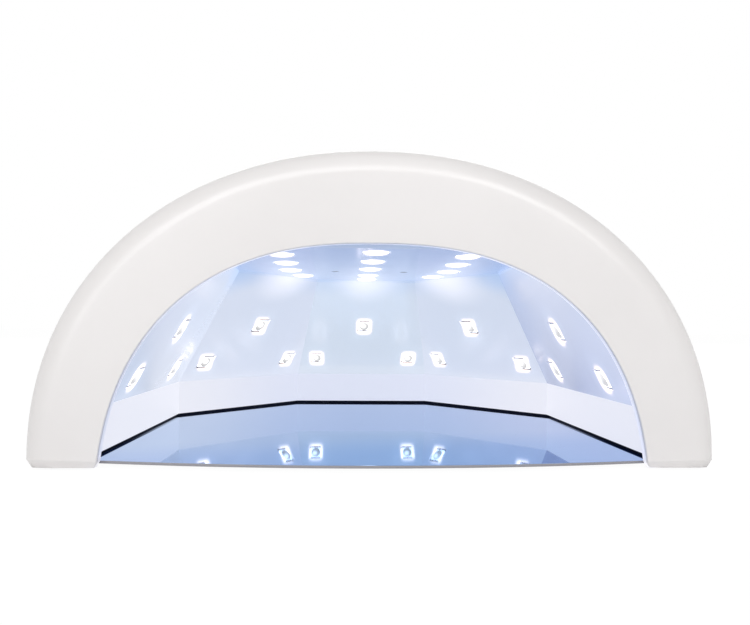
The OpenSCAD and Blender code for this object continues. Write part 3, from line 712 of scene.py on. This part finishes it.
def shellSkin():
    # outer rings from the lip over the face and the rounding to the back, inner rings beside
    # them, and strips that join the two along the lip and the feet
    turn = quarterTurn(shell["roundSteps"])
    roundDepth = shell["faceRound"] * (1 - np.cos(turn))
    inset = shell["faceRoundWide"] * (1 - np.sin(turn))
    level = np.linspace(shell["faceRound"], shell["levelDepth"], shell["levelSteps"] + 1)[1:]
    fall = np.sin(quarterTurn(shell["fallSteps"])[1:])
    outerFall = shell["levelDepth"] + (shellDepth - shell["levelDepth"]) * fall
    depth = np.r_[roundDepth, level, outerFall]
    inset = np.r_[inset, np.zeros(len(level) + len(outerFall))]
    kept = keptShare(depth, shellDepth)
    top = shell["upright"] + (shellTop - inset - shell["upright"]) * kept
    dome = archRings((shellHalf - inset) * kept, top, depth, shell["bevelWide"])

    edge = shell["lipEdge"]
    lip = np.stack([lipRing(edge * (1 - math.cos(a)), edge * (1 - math.sin(a)))
                    for a in quarterTurn(shell["lipSteps"])])
    share = np.linspace(0, 1, shell["faceSteps"] + 1)[1:-1, None, None]
    faceRings = lip[-1] + (dome[0] - lip[-1]) * share
    outer = footBevel(np.concatenate([lip, faceRings, dome]))

    innerBack = shellDepth - shell["wall"]
    innerDepth = np.r_[shell["faceThick"] + (shell["levelDepth"] - shell["faceThick"])
                       * np.r_[roundDepth, level] / shell["levelDepth"],
                       shell["levelDepth"] + (innerBack - shell["levelDepth"]) * fall]
    keptIn = keptShare(innerDepth, innerBack)
    innerTop = shell["upright"] + (shellTop - shell["wall"] - shell["upright"]) * keptIn
    innerDome = archRings((shellHalf - shell["wall"]) * keptIn, innerTop, innerDepth, 0.0)
    innerLip = lipRing(0, shell["faceThick"])
    lipShare = np.linspace(0, 1, len(lip) + shell["faceSteps"])[:-1, None, None]
    inner = np.concatenate([innerLip + (innerDome[0] - innerLip) * lipShare, innerDome])

    rows, columns = outer.shape[:2]
    count = rows * columns
    faces = gridFaces(rows, columns) + gridFaces(rows, columns, first=count)
    along = np.arange(columns - 1)
    faces += np.stack([along, along + 1, along + 1 + count, along + count], -1).tolist()
    for side in (0, columns - 1):
        down = np.arange(rows - 1) * columns + side
        faces += np.stack([down, down + columns, down + columns + count, down + count], -1).tolist()
    points = np.concatenate([outer.reshape(-1, 3), inner.reshape(-1, 3)])
    return points + [0, faceY, footZ], faces


def domeHeight(x, y):
    # height of the dome's outside over a place, in the frame
    kept = keptShare(y - faceY, shellDepth) ** shell["archPower"]
    rest = np.clip(kept - (np.abs(x) / shellHalf) ** shell["archPower"], 0, 1)
    return footZ + shell["upright"] + (shellTop - shell["upright"]) * rest ** (1 / shell["archPower"])


def domeBack(x, z):
    # depth of the dome's outside behind a place on its back, in the frame
    rise = (z - footZ - shell["upright"]) / (shellTop - shell["upright"])
    used = (np.abs(x) / shellHalf) ** shell["archPower"] + rise ** shell["archPower"]
    fallen = np.clip(1 - used, 0, 1) ** (1 / shell["backPower"])
    return faceY + shell["levelDepth"] + (shellDepth - shell["levelDepth"]) * fallen


panelLow, panelHigh = (np.array(corner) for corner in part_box("control_panel"))
panel = dict(flange=2 * mm, flangeThick=0.8 * mm, seat=0.1 * mm, edge=0.5 * mm, topEdge=0.6 * mm,
             hole=4.8 * mm, lip=0.35 * mm, lipTurn=80, edgeTurn=75, steps=28, slotProud=3 * mm)
panelMiddle = (panelLow + panelHigh) / 2
panelWidth = panelHigh[0] - panelLow[0] - 2 * panel["flange"]
panelDepth = panelHigh[1] - panelLow[1] - 2 * panel["flange"]

inletLow, inletHigh = (np.array(corner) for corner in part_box("power_inlet"))
inlet = dict(flange=5.6 * mm, flangeThick=1.5 * mm, barrel=4 * mm, socket=2.75 * mm, socketDeep=9.5 * mm,
             mouth=0.3 * mm, pin=1.05 * mm, pinRecess=1 * mm, seat=0.1 * mm, edge=0.35 * mm,
             barrelPast=2 * mm, pinPast=1 * mm, steps=56, pinSteps=28, holeSteps=64, holeDeep=12 * mm,
             holeProud=4 * mm, pinNose=((0, 0), (0.6, 0), (0.9, 0.15 * mm), (1, 0.5 * mm)))
inletZ = (inletLow[2] + inletHigh[2]) / 2
inletY = inletHigh[1]


def panelSlot():
    # a stadium cut down through the crown, its rim rounded where it meets the dome
    outline = stadium(panelWidth, panelDepth)
    turn = np.linspace(0, math.radians(panel["edgeTurn"]), 5)
    edge = panel["edge"]
    wide = [panel["seat"], *(panel["seat"] + edge * (1 - np.cos(turn)))]
    below = [None, *(edge * (np.sin(turn) - 1))]
    rings = []
    for offset, drop in zip(wide, below):
        place = drawnIn(outline, -offset) + panelMiddle[:2]
        height = panelLow[2] if drop is None else domeHeight(place[:, 0], place[:, 1]) + drop
        rings.append(np.c_[place, height + np.zeros(len(place))])
    rings.append(rings[-1] + [0, 0, panel["slotProud"]])
    count = len(outline)
    return np.concatenate(rings), gridFaces(len(rings), count, True) + endFaces(len(rings), count)


def inletHole():
    # the barrel's hole and the flange's seat, both round the inlet's axis along Y
    angle = np.linspace(0, 2 * np.pi, inlet["holeSteps"], endpoint=False)
    hole = inlet["barrel"] + inlet["seat"]
    seat = inlet["flange"] + inlet["seat"]
    flangeY, edge = inletY - inlet["flangeThick"], inlet["edge"]
    # radius, then a depth in the frame or a height over the dome
    rows = [(hole, inletY - inlet["holeDeep"], None), (hole, flangeY, None), (seat, flangeY, None),
            (seat, None, -edge), (seat + 0.3 * edge, None, -0.3 * edge), (seat + 0.8 * edge, None, 0.0),
            (seat + 0.8 * edge, None, inlet["holeProud"])]
    rings = []
    for radius, depth, proud in rows:
        x = radius * np.cos(angle)
        z = inletZ + radius * np.sin(angle)
        y = domeBack(x, z) + proud if depth is None else depth + 0 * x
        rings.append(np.stack([x, y, z], -1))
    count = len(angle)
    return np.concatenate(rings), gridFaces(len(rings), count, True) + endFaces(len(rings), count, True)


topShell = meshPiece("topShell", *shellSkin(), white)
cut(topShell, panelSlot(), inletHole())
standsFor(topShell, "lamp", "shell_white", "top_shell")
print("shell made,", len(topShell.data.polygons), "faces")


# the three ceiling LEDs nearest to the back, from left to right; their light on the tops of the walls is
# painted as glows
ceilingFeet = sorted((foot for foot, axes in ledsOf["ceiling"]), key=lambda foot: foot[1])
leftTurnFoot, lastFoot, rightTurnFoot = sorted(ceilingFeet[-3:], key=lambda foot: foot[0])
cornerRight = np.array([54 * mm, faceY + 76 * mm, footZ + 67 * mm])
cornerLeft = cornerRight * [-1, 1, 1]
glowDrop = np.array([0, 0, 6 * mm])

# each film's painted light: its emission near the face and deep inside, its LEDs' painted bloom (half sizes,
# slant, power), painted glows (centre, radius, strength), painted shades (centre, radius, colour) and, for the
# ceiling, a front edge painted lighter
wallDepths = (0, 110 * mm)
filmLooks = {
    "right": dict(
        rough=0.2, low=srgb(171, 176, 192), high=srgb(104, 115, 145),
        bloomShape=((5.2 * mm, 6.6 * mm), -0.5, 2.4),
        glows=[(cornerRight + [5 * mm, 12 * mm, -32 * mm], 15 * mm, 0.5)],
        shades=[(cornerRight, 26 * mm, srgb(110, 130, 168))]),
    "right_back": dict(
        rough=0.2, low=srgb(184, 190, 203), high=srgb(184, 190, 202),
        bloomShape=((4.2 * mm, 6.2 * mm), -0.38, 4.6),
        glows=[(rightTurnFoot - glowDrop, 26 * mm, 1.0)],
        shades=[(cornerRight, 18 * mm, srgb(140, 165, 200))]),
    "back": dict(
        low=srgb(185, 193, 204), high=srgb(184, 192, 202),
        bloomShape=((4.0 * mm, 6.8 * mm), 0.0, 4.0),
        glows=[(lastFoot - glowDrop, 22 * mm, 0.8)]),
    "left_back": dict(
        rough=0.2, low=srgb(189, 194, 206), high=srgb(187, 192, 204),
        bloomShape=((4.2 * mm, 6.2 * mm), 0.38, 4.6),
        glows=[(leftTurnFoot - glowDrop, 24 * mm, 1.0)],
        shades=[(cornerLeft, 18 * mm, srgb(150, 172, 204))]),
    "left": dict(
        rough=0.18, low=srgb(155, 162, 176), high=srgb(155, 161, 172),
        bloomShape=((5.2 * mm, 6.6 * mm), 0.5, 2.4),
        glows=[(cornerLeft + [-5 * mm, 12 * mm, -32 * mm], 15 * mm, 0.5)],
        shades=[(cornerLeft, 14 * mm, srgb(150, 165, 192))]),
    "ceiling": dict(
        low=srgb(34, 72, 130), high=srgb(114, 128, 156),
        bloomShape=((7.2 * mm, 4.3 * mm), 0.0, 2.2),
        front=(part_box("reflector_ceiling")[0][1], srgb(107, 132, 170))),
}
paleMask, paleTrack = srgb(192, 198, 210), srgb(178, 184, 196)
for name, look in filmLooks.items():
    leds = ledsOf[name]
    film = litFilm("film_" + name, depths=wallDepths, leds=leds, shadeUnderCeiling=name != "ceiling", **look)
    wear("reflector_" + name, film)
    wear("board_" + name, circuitBoard("boardPale_" + name, paleMask, paleTrack, leds, look["bloomShape"]))
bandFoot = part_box("reflector_band")[0][2]
# the band's painted light at two depths and its painted shade above the plate's gap
bandLook = dict(low=srgb(205, 205, 211), high=srgb(192, 195, 209), depths=(120 * mm, 178 * mm),
                metal=0.15, rough=0.5, gapShade=(bandFoot + 0.3 * mm, bandFoot + 0.1 * mm))
wear("reflector_band", litFilm("film_band", **bandLook))

led = dict(
    width=5.4 * mm, length=7.0 * mm, height=1.0 * mm, corner=0.5 * mm, edge=0.2 * mm, rim=0.35 * mm,
    sunk=0.15 * mm, sunkEdge=0.1 * mm, lens=(2.3 * mm, 3.0 * mm), lensFoot=0.2 * mm, lensHigh=2.2 * mm,
    flatLensHigh=1.7 * mm, lensSteps=32, padWide=5.2 * mm, padDeep=0.95 * mm, padHigh=0.9 * mm,
    padCorner=0.2 * mm, padEdge=0.1 * mm, padPlace=3.95 * mm, dot=0.3 * mm, dotShoulder=0.6, dotSteps=12,
    dotPlace=(3.1 * mm, 4.05 * mm))


def ledSet(frames, shapes):
    # shapes made once, round the middle of a package's foot, then set at every LED of a node
    placed = []
    for foot, axes in frames:
        placed += [(points @ axes + foot, faces) for points, faces in shapes]
    return joined(placed)


def ledBodyShape():
    # a square with round corners and edges, sunk a little inside its rim round the lens
    outline = roundedSquare(led["width"], led["length"], led["corner"])
    rows = roundedProfile(0, led["height"], 0, led["edge"], 3)
    rim = led["edge"] + led["rim"]
    rows += [(rim, led["height"]), (rim + led["sunkEdge"], led["height"] - led["sunk"])]
    return lofted(outline, rows)


def ledLensShape(top):
    # an oval dome: cos a along both half sizes, sin a from the body's top to the lens's top
    low = led["height"] - led["lensFoot"]
    rows = [(0, low), (1, low)]
    rows += [(math.cos(a), led["height"] + (top - led["height"]) * math.sin(a)) for a in quarterTurn(8)]
    points, faces = turned(rows, led["lensSteps"])
    return points * [*led["lens"], 1], faces


def padShapes():
    # a solder bar above and below the package, with a small test dot beside each
    bar = lofted(roundedSquare(led["padWide"], led["padDeep"], led["padCorner"], 3),
                 roundedProfile(0, led["padHigh"], 0, led["padEdge"], 2))
    dotWide, dotHigh, (dotX, dotY) = led["dot"], led["padHigh"], led["dotPlace"]
    dotRows = [(0, 0), (dotWide, 0), (dotWide, dotHigh * led["dotShoulder"]), (0, dotHigh)]
    dot = turned(dotRows, led["dotSteps"])
    shapes = []
    for side in (-1, 1):
        shapes.append((bar[0] + [0, side * led["padPlace"], 0], bar[1]))
        shapes.append((dot[0] + [side * dotX, side * dotY, 0], dot[1]))
    return shapes


bodyFinish = ledBody()
padSkin = dict(rough=0.5, grainScale=1500, grainDepth=0.005 * mm)
padGrey = plainPlastic("padGrey", srgb(150, 150, 154), srgb(164, 164, 168), **padSkin)
# a paler copy of the pads' grey, painted light
padPaintedLight = plainPlastic("padPaintedLight", srgb(206, 206, 212), srgb(216, 216, 222), **padSkin)
# the painted shade of the grey ring in each window, near to its core and far from it, paler on some walls and
# white under the ceiling, and how far off the core stands
whiteGlow = (1.8, 1.72, 1.7)
paintedLensShades = {name: (srgb(220, 219, 217), srgb(180, 179, 177)) for name in ledsOf}
paintedLensShades["right"] = paintedLensShades["left"] = (srgb(246, 246, 248), srgb(206, 206, 208))
paintedLensShades["right_back"] = (srgb(234, 233, 232), srgb(198, 197, 196))
paintedLensShades["ceiling"] = (whiteGlow, whiteGlow)
coreShift = {"left_back": -1.2 * mm, "right_back": 0.2 * mm}
for name, frames in ledsOf.items():
    node = "leds_" + name
    bodies = meshPiece("ledBodies_" + name, *ledSet(frames, [ledBodyShape()]), bodyFinish)
    lensFinish = ledLens(name, frames, *paintedLensShades[name], coreShift.get(name, ledLook["coreAcross"]))
    lensTop = led["flatLensHigh"] if name == "ceiling" else led["lensHigh"]
    lenses = meshPiece("ledLenses_" + name, *ledSet(frames, [ledLensShape(lensTop)]), lensFinish)
    # painted light: the pads take a paler copy of their grey on the side walls and the glowing body finish
    # under the ceiling
    padFinish = {"ceiling": bodyFinish, "left": padPaintedLight, "right": padPaintedLight}.get(name, padGrey)
    pads = meshPiece("ledPads_" + name, *ledSet(frames, padShapes()), padFinish)
    for piece in (bodies, lenses, pads):
        standsFor(piece, "lamp", "led_package", node)
print("LEDs made")

# the sensor's two eyes: low dark domes in the ceiling
eye = dict(radius=1.5 * mm, deep=1.0 * mm, bulge=0.25 * mm, steps=28)
eyeGlass = plainPlastic("eyeGlass", srgb(70, 80, 110), srgb(60, 70, 100),
                        rough=0.18, grainScale=2000, grainDepth=0.002 * mm, coat=0.5)
eyeRows = [(0, -eye["deep"]), (eye["radius"], -eye["deep"])]
eyeRows += [(eye["radius"] * math.cos(a), eye["bulge"] * math.sin(a)) for a in quarterTurn(5)]
eyeFrames = [(foot + eye["deep"] * axes[2], axes) for foot, axes in ledFrames("hand_sensor", True)]
handSensor = meshPiece("handSensor", *ledSet(eyeFrames, [turned(eyeRows, eye["steps"])]), eyeGlass)
standsFor(handSensor, "lamp", "black_plastic", "hand_sensor")


button = dict(radius=4.5 * mm, flange=5.7 * mm, flangeThick=1.2 * mm, edge=0.7 * mm, dish=0.15 * mm, steps=56,
              dishShares=(0.85, 0.65, 0.4, 0.2, 0), number=4.4 * mm, numberThick=0.08 * mm, numberSunk=0.1 * mm)
times = {"short": "10", "medium": "30", "long": "60"}
buttonBoxes = {name: [np.array(corner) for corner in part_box("timer_button_" + name)] for name in times}
buttonMiddles = {name: (low + high) / 2 for name, (low, high) in buttonBoxes.items()}


def buttonHole(middle):
    # a round hole with a rounded rim
    hole, lip, proud = panel["hole"], panel["lip"], 1 * mm
    turn = np.linspace(0, math.radians(panel["lipTurn"]), 4)
    top = panelHigh[2] - panelLow[2]
    rows = [(hole, -proud)]
    rows += [(hole + lip * (1 - math.cos(a)), top + lip * (math.sin(a) - 1)) for a in turn]
    rows.append((hole + lip, top + proud))
    points, faces = turned(rows, button["steps"], (middle[0], middle[1], panelLow[2]))
    return points, faces + endFaces(len(rows), button["steps"], True)


outline = stadium(panelWidth, panelDepth, panel["steps"])
flangeTop = panelLow[2] + panel["flangeThick"]
panelRows = [(-panel["flange"], panelLow[2]), (-panel["flange"], flangeTop), (0, flangeTop)]
panelRows += roundedProfile(flangeTop + 1 * mm, panelHigh[2], 0, panel["topEdge"])
controlPanel = meshPiece("controlPanel", *lofted(outline, panelRows), panelGrey)
controlPanel.data.transform(Matrix.Translation((panelMiddle[0], panelMiddle[1], 0)))
cut(controlPanel, *[buttonHole(middle) for middle in buttonMiddles.values()])
standsFor(controlPanel, "lamp", "panel_grey", "control_panel")


def capShape(low, high):
    # a cap with a foot flange, a rounded top edge and a shallow dish
    bottom, top = low[2], high[2]
    radius, flange, edge = button["radius"], button["flange"], button["edge"]
    flangeHigh = bottom + button["flangeThick"]
    rows = [(0, bottom), (flange, bottom), (flange, flangeHigh), (radius, flangeHigh)]
    rows += [(radius - edge * (1 - math.cos(a)), top - edge * (1 - math.sin(a))) for a in quarterTurn(6)]
    inner = radius - edge
    return rows + [(inner * share, top - button["dish"] * (1 - share ** 2)) for share in button["dishShares"]]


def numeral(name, text, middle, height):
    # a number that stands in a cap's dish, its middle at the height
    curve = bpy.data.curves.new(name, "FONT")
    curve.body = text
    curve.size = button["number"]
    curve.extrude = button["numberThick"]
    curve.align_x = "CENTER"
    curve.align_y = "CENTER"
    letter = linked(name, curve)
    mesh = finished(letter)
    bpy.data.objects.remove(letter)
    weld(mesh)
    mesh.transform(Matrix.Translation((middle[0], middle[1], height)))
    mesh.materials.clear()
    mesh.materials.append(printGrey)
    return linked(name, mesh)


for name, (low, high) in buttonBoxes.items():
    middle = buttonMiddles[name]
    points, faces = turned(capShape(low, high), button["steps"], (middle[0], middle[1], 0))
    cap = meshPiece("timerButton_" + name, points, faces, buttonWhite)
    standsFor(cap, "button_" + name, "button_white", "timer_button_" + name)
    number = numeral("number_" + name, times[name], middle, high[2] - button["numberSunk"])
    standsFor(number, "button_" + name, "black_plastic")
print("controls made")


def inletRows():
    # flange with a rounded edge, barrel behind it, socket bored from the front; heights run inwards
    edge, mouth, socket, deep = inlet["edge"], inlet["mouth"], inlet["socket"], inlet["socketDeep"]
    flange, thick, barrel = inlet["flange"], inlet["flangeThick"], inlet["barrel"]
    barrelDeep = deep + inlet["barrelPast"]
    rows = [(0, deep), (socket, deep), (socket, mouth), (socket + mouth, 0)]
    rows += rimRows(flange, edge, 0)
    return rows + [(flange, thick), (barrel, thick), (barrel, barrelDeep), (0, barrelDeep)]


def toInlet(points):
    # from a shape round Z to one that runs into the back of the shell
    return np.stack([points[:, 0], inletY - points[:, 2], inletZ + points[:, 1]], -1)


points, faces = turned(inletRows(), inlet["steps"])
powerInlet = meshPiece("powerInlet", toInlet(points), faces, blackPlastic)
standsFor(powerInlet, "lamp", "black_plastic", "power_inlet")
pin, pinEnd = inlet["pin"], inlet["socketDeep"] + inlet["pinPast"]
pinRows = [(pin * share, inlet["pinRecess"] + depth) for share, depth in inlet["pinNose"]]
pinRows += [(pin, pinEnd), (0, pinEnd)]
points, faces = turned(pinRows, inlet["pinSteps"])
inletPin = meshPiece("inletPin", toInlet(points), faces, plated)
standsFor(inletPin, "lamp", "plated_steel", "power_inlet")
print("inlet made")


screw = dict(head=2.4 * mm, headHigh=1.4 * mm, edge=0.35 * mm, shank=1.25 * mm, pitch=0.5 * mm,
             thread=0.12 * mm, threadStart=0.6 * mm, tip=0.6 * mm, tipShare=0.5, steps=24,
             crownShare=0.55, crownFall=0.05 * mm, edgeFall=0.1 * mm, cross=2.9 * mm, arm=0.55 * mm,
             crossProud=0.5 * mm, crossDeep=0.9 * mm, crossFall=0.12 * mm, apart=14 * mm)


def screwShape(length):
    # head down at z = 0, shank up; the shank's radius rises and falls for each turn of its thread
    head, headHigh, shank, pitch = screw["head"], screw["headHigh"], screw["shank"], screw["pitch"]
    rows = [(0, 0), (head * screw["crownShare"], screw["crownFall"])]
    rows += rimRows(head, screw["edge"], screw["edgeFall"]) + [(head, headHigh), (shank, headHigh)]
    start = headHigh + screw["threadStart"]
    turns = int((length - start - screw["tip"]) / pitch)
    rows += [(shank - screw["thread"] * (step % 2), start + pitch * step / 2) for step in range(2 * turns)]
    return turned(rows + [(shank * screw["tipShare"], length), (0, length)], screw["steps"])


def crossCutter():
    # a plus sign that narrows as it goes in
    half, arm = screw["cross"] / 2, screw["arm"] / 2
    arms = [np.array([(half, -arm), (half, arm), (arm, arm)])]
    for turn in range(3):
        arms.append(arms[-1][:, ::-1] * (-1, 1))  # the last one, a quarter turn on: (x, y) to (-y, x)
    rows = [(0, -screw["crossProud"]), (0, 0), (screw["crossFall"], screw["crossDeep"])]
    return lofted(np.concatenate(arms), rows)


def screwSet(name, node, body):
    # one screw made and cut, then set at each place that the CAD has one
    boxes = [(group.min(0), group.max(0)) for group in clusters(cornersOf(node), screw["apart"])]
    low, high = boxes[0]
    single = cut(meshPiece("oneScrew", *screwShape(high[2] - low[2]), plated), crossCutter())
    points, faces = cornerArray(single.data), [list(face.vertices) for face in single.data.polygons]
    bpy.data.objects.remove(single)
    places = [[(low[0] + high[0]) / 2, (low[1] + high[1]) / 2, low[2]] for low, high in boxes]
    piece = meshPiece(name, *joined([(points + place, faces) for place in places]), plated)
    standsFor(piece, body, "plated_steel", node)


screwSet("coverScrews", "cover_screws", "lamp")
screwSet("controlBoardScrews", "control_board_screws", "lamp")
print("screws made")


def hullOutline(points):
    # the outline of a convex plate seen from above: its corners in order of angle
    flat = np.unique(points[:, :2].round(6), axis=0)
    middle = (flat.min(0) + flat.max(0)) / 2
    angle = np.arctan2(flat[:, 1] - middle[1], flat[:, 0] - middle[0])
    return flat[np.argsort(angle)]


plate = dict(edge=0.2 * mm, edgeSteps=4, sharp=20)
plateCorners = cornersOf("base_plate")
plateRows = roundedProfile(plateCorners[:, 2].min(), plateCorners[:, 2].max(), plate["edge"], plate["edge"],
                           plate["edgeSteps"])
basePlate = meshPiece("basePlate", *lofted(hullOutline(plateCorners), plateRows), plateFinish, plate["sharp"])
standsFor(basePlate, "base_tray", "plate_mirror", "base_plate")

rubberFoot = dict(edge=0.5 * mm, dish=0.25 * mm, dishShare=0.55, soleShare=0.65, steps=40, apart=12 * mm)


def footRows(radius, low, high):
    # a foot with a rounded lower edge and a shallow dish in its sole
    edge = min(rubberFoot["edge"], (high - low) / 3)
    dished = low + rubberFoot["dish"]
    rows = [(0, dished), (radius * rubberFoot["dishShare"], dished), (radius * rubberFoot["soleShare"], low)]
    return rows + rimRows(radius, edge, low) + [(radius, high), (0, high)]


def footSet(name, node, body):
    # a foot at each place that the CAD has one, of its radius and height
    parts = []
    for group in clusters(cornersOf(node), rubberFoot["apart"]):
        low, high = group.min(0), group.max(0)
        middle = (low + high) / 2
        rows = footRows((high[0] - low[0]) / 2, low[2], high[2])
        parts.append(turned(rows, rubberFoot["steps"], (middle[0], middle[1], 0)))
    standsFor(meshPiece(name, *joined(parts), rubberBlack), body, "rubber_black", node)


footSet("rubberFeet", "rubber_feet", "lamp")
footSet("platePads", "plate_pads", "base_tray")
for node, finish in (("bottom_cover", coverBlack), ("magnets", plated), ("inlet_nut", plated),
                     ("tact_switches", blackPlastic), ("control_board", boardGreen)):
    wear(node, finish)
print("base made")


# the camera's place, its turns in degrees and its lens in millimetres
view = dict(place=(-11.47 * mm, -332.0 * mm, 46.94 * mm), yaw=-2.580, pitch=0.812, roll=0.477,
            lens=35.56, sensor=36, clip=10 * mm)
cameraData = bpy.data.cameras.new("camera")
cameraData.lens = view["lens"]
cameraData.sensor_width = view["sensor"]
cameraData.clip_start = view["clip"]
camera = linked("camera", cameraData)
stand = Matrix.Translation(view["place"])
for angle, axis in ((view["yaw"], "Z"), (90 + view["pitch"], "X"), (view["roll"], "Z")):
    stand = stand @ Matrix.Rotation(math.radians(angle), 4, axis)
camera.matrix_world = stand
bpy.context.scene.camera = camera

lampAim = Vector((0, 0, 40 * mm))
lampsAround = {
    # place, width, height, power; each faces the middle of the object
    "boxLeft": ((-0.7, -1.2, 0.1), 0.3, 0.4, 0.75),
    "cornerLeft": ((-0.46, -1.2, 0.42), 0.34, 0.34, 1.25),
    "boxTop": ((0.0, -1.2, 0.66), 1.0, 0.3, 4.1),
    "cornerRight": ((0.5, -1.2, 0.44), 0.34, 0.34, 1.4),
    "boxRight": ((0.7, -1.2, 0.1), 0.3, 0.4, 0.1),
    "washLeft": ((-0.6, -1.1, 0.3), 0.6, 0.6, 0.5),
    "washTop": ((0.0, -0.75, 1.0), 0.6, 0.6, 0.55),
    "backWash": ((0.1, 1.5, 0.5), 1.4, 1.4, 8.0),
}
for name, (place, wide, high, power) in lampsAround.items():
    light = bpy.data.lights.new(name, "AREA")
    light.shape = "RECTANGLE"
    light.size, light.size_y = wide, high
    light.energy = power
    lamp = linked(name, light)
    lamp.location = place
    lamp.rotation_euler = (lampAim - Vector(place)).to_track_quat("-Z", "Y").to_euler()

# day lights the object and seen shows behind it; the floor's glow shows only directly, in its share
surroundings = dict(day=0.36, seen=1.0, colour=(1, 1, 1, 1), floorReach=4.0, floorColour=(0.98, 0.98, 0.98, 1),
                    floorGlow=1.05, glowShare=0.92)
world = bpy.data.worlds.new("surroundings")
bpy.context.scene.world = world
world.use_nodes = True


def seenDirectly(finish):
    # 1 for camera, glossy and transmission rays
    path = finish.add("ShaderNodeLightPath")
    outputs = path.socket.node.outputs
    rays = [Wire(finish, outputs[name]) for name in ("Is Camera Ray", "Is Glossy Ray", "Is Transmission Ray")]
    return strongest(rays)


class WorldFinish(Finish):
    # the world's own nodes in place of a material's
    def __init__(self, tree):
        self.tree = tree
        self.tree.nodes.clear()


sky = WorldFinish(world.node_tree)
strength = surroundings["day"] + seenDirectly(sky) * (surroundings["seen"] - surroundings["day"])
background = sky.add("ShaderNodeBackground", values={"Color": surroundings["colour"], "Strength": strength})
sky.add("ShaderNodeOutputWorld", values={"Surface": background})

paper = Finish("floorPaper")
diffuse = paper.add("ShaderNodeBsdfDiffuse", values={"Color": surroundings["floorColour"]})
glowValues = {"Color": surroundings["colour"], "Strength": surroundings["floorGlow"]}
glow = paper.add("ShaderNodeEmission", values=glowValues)
share = seenDirectly(paper) * surroundings["glowShare"]
paper.show(paper.add("ShaderNodeMixShader", values=[share, diffuse, glow]))
floorCorners = np.array([(-1, -1, 0), (1, -1, 0), (1, 1, 0), (-1, 1, 0)]) * surroundings["floorReach"]
floor = meshPiece("floor", floorCorners, [[0, 1, 2, 3]], paper.material)
bpy.context.scene.view_settings.view_transform = "Standard"
print("camera, lamps and floor set")
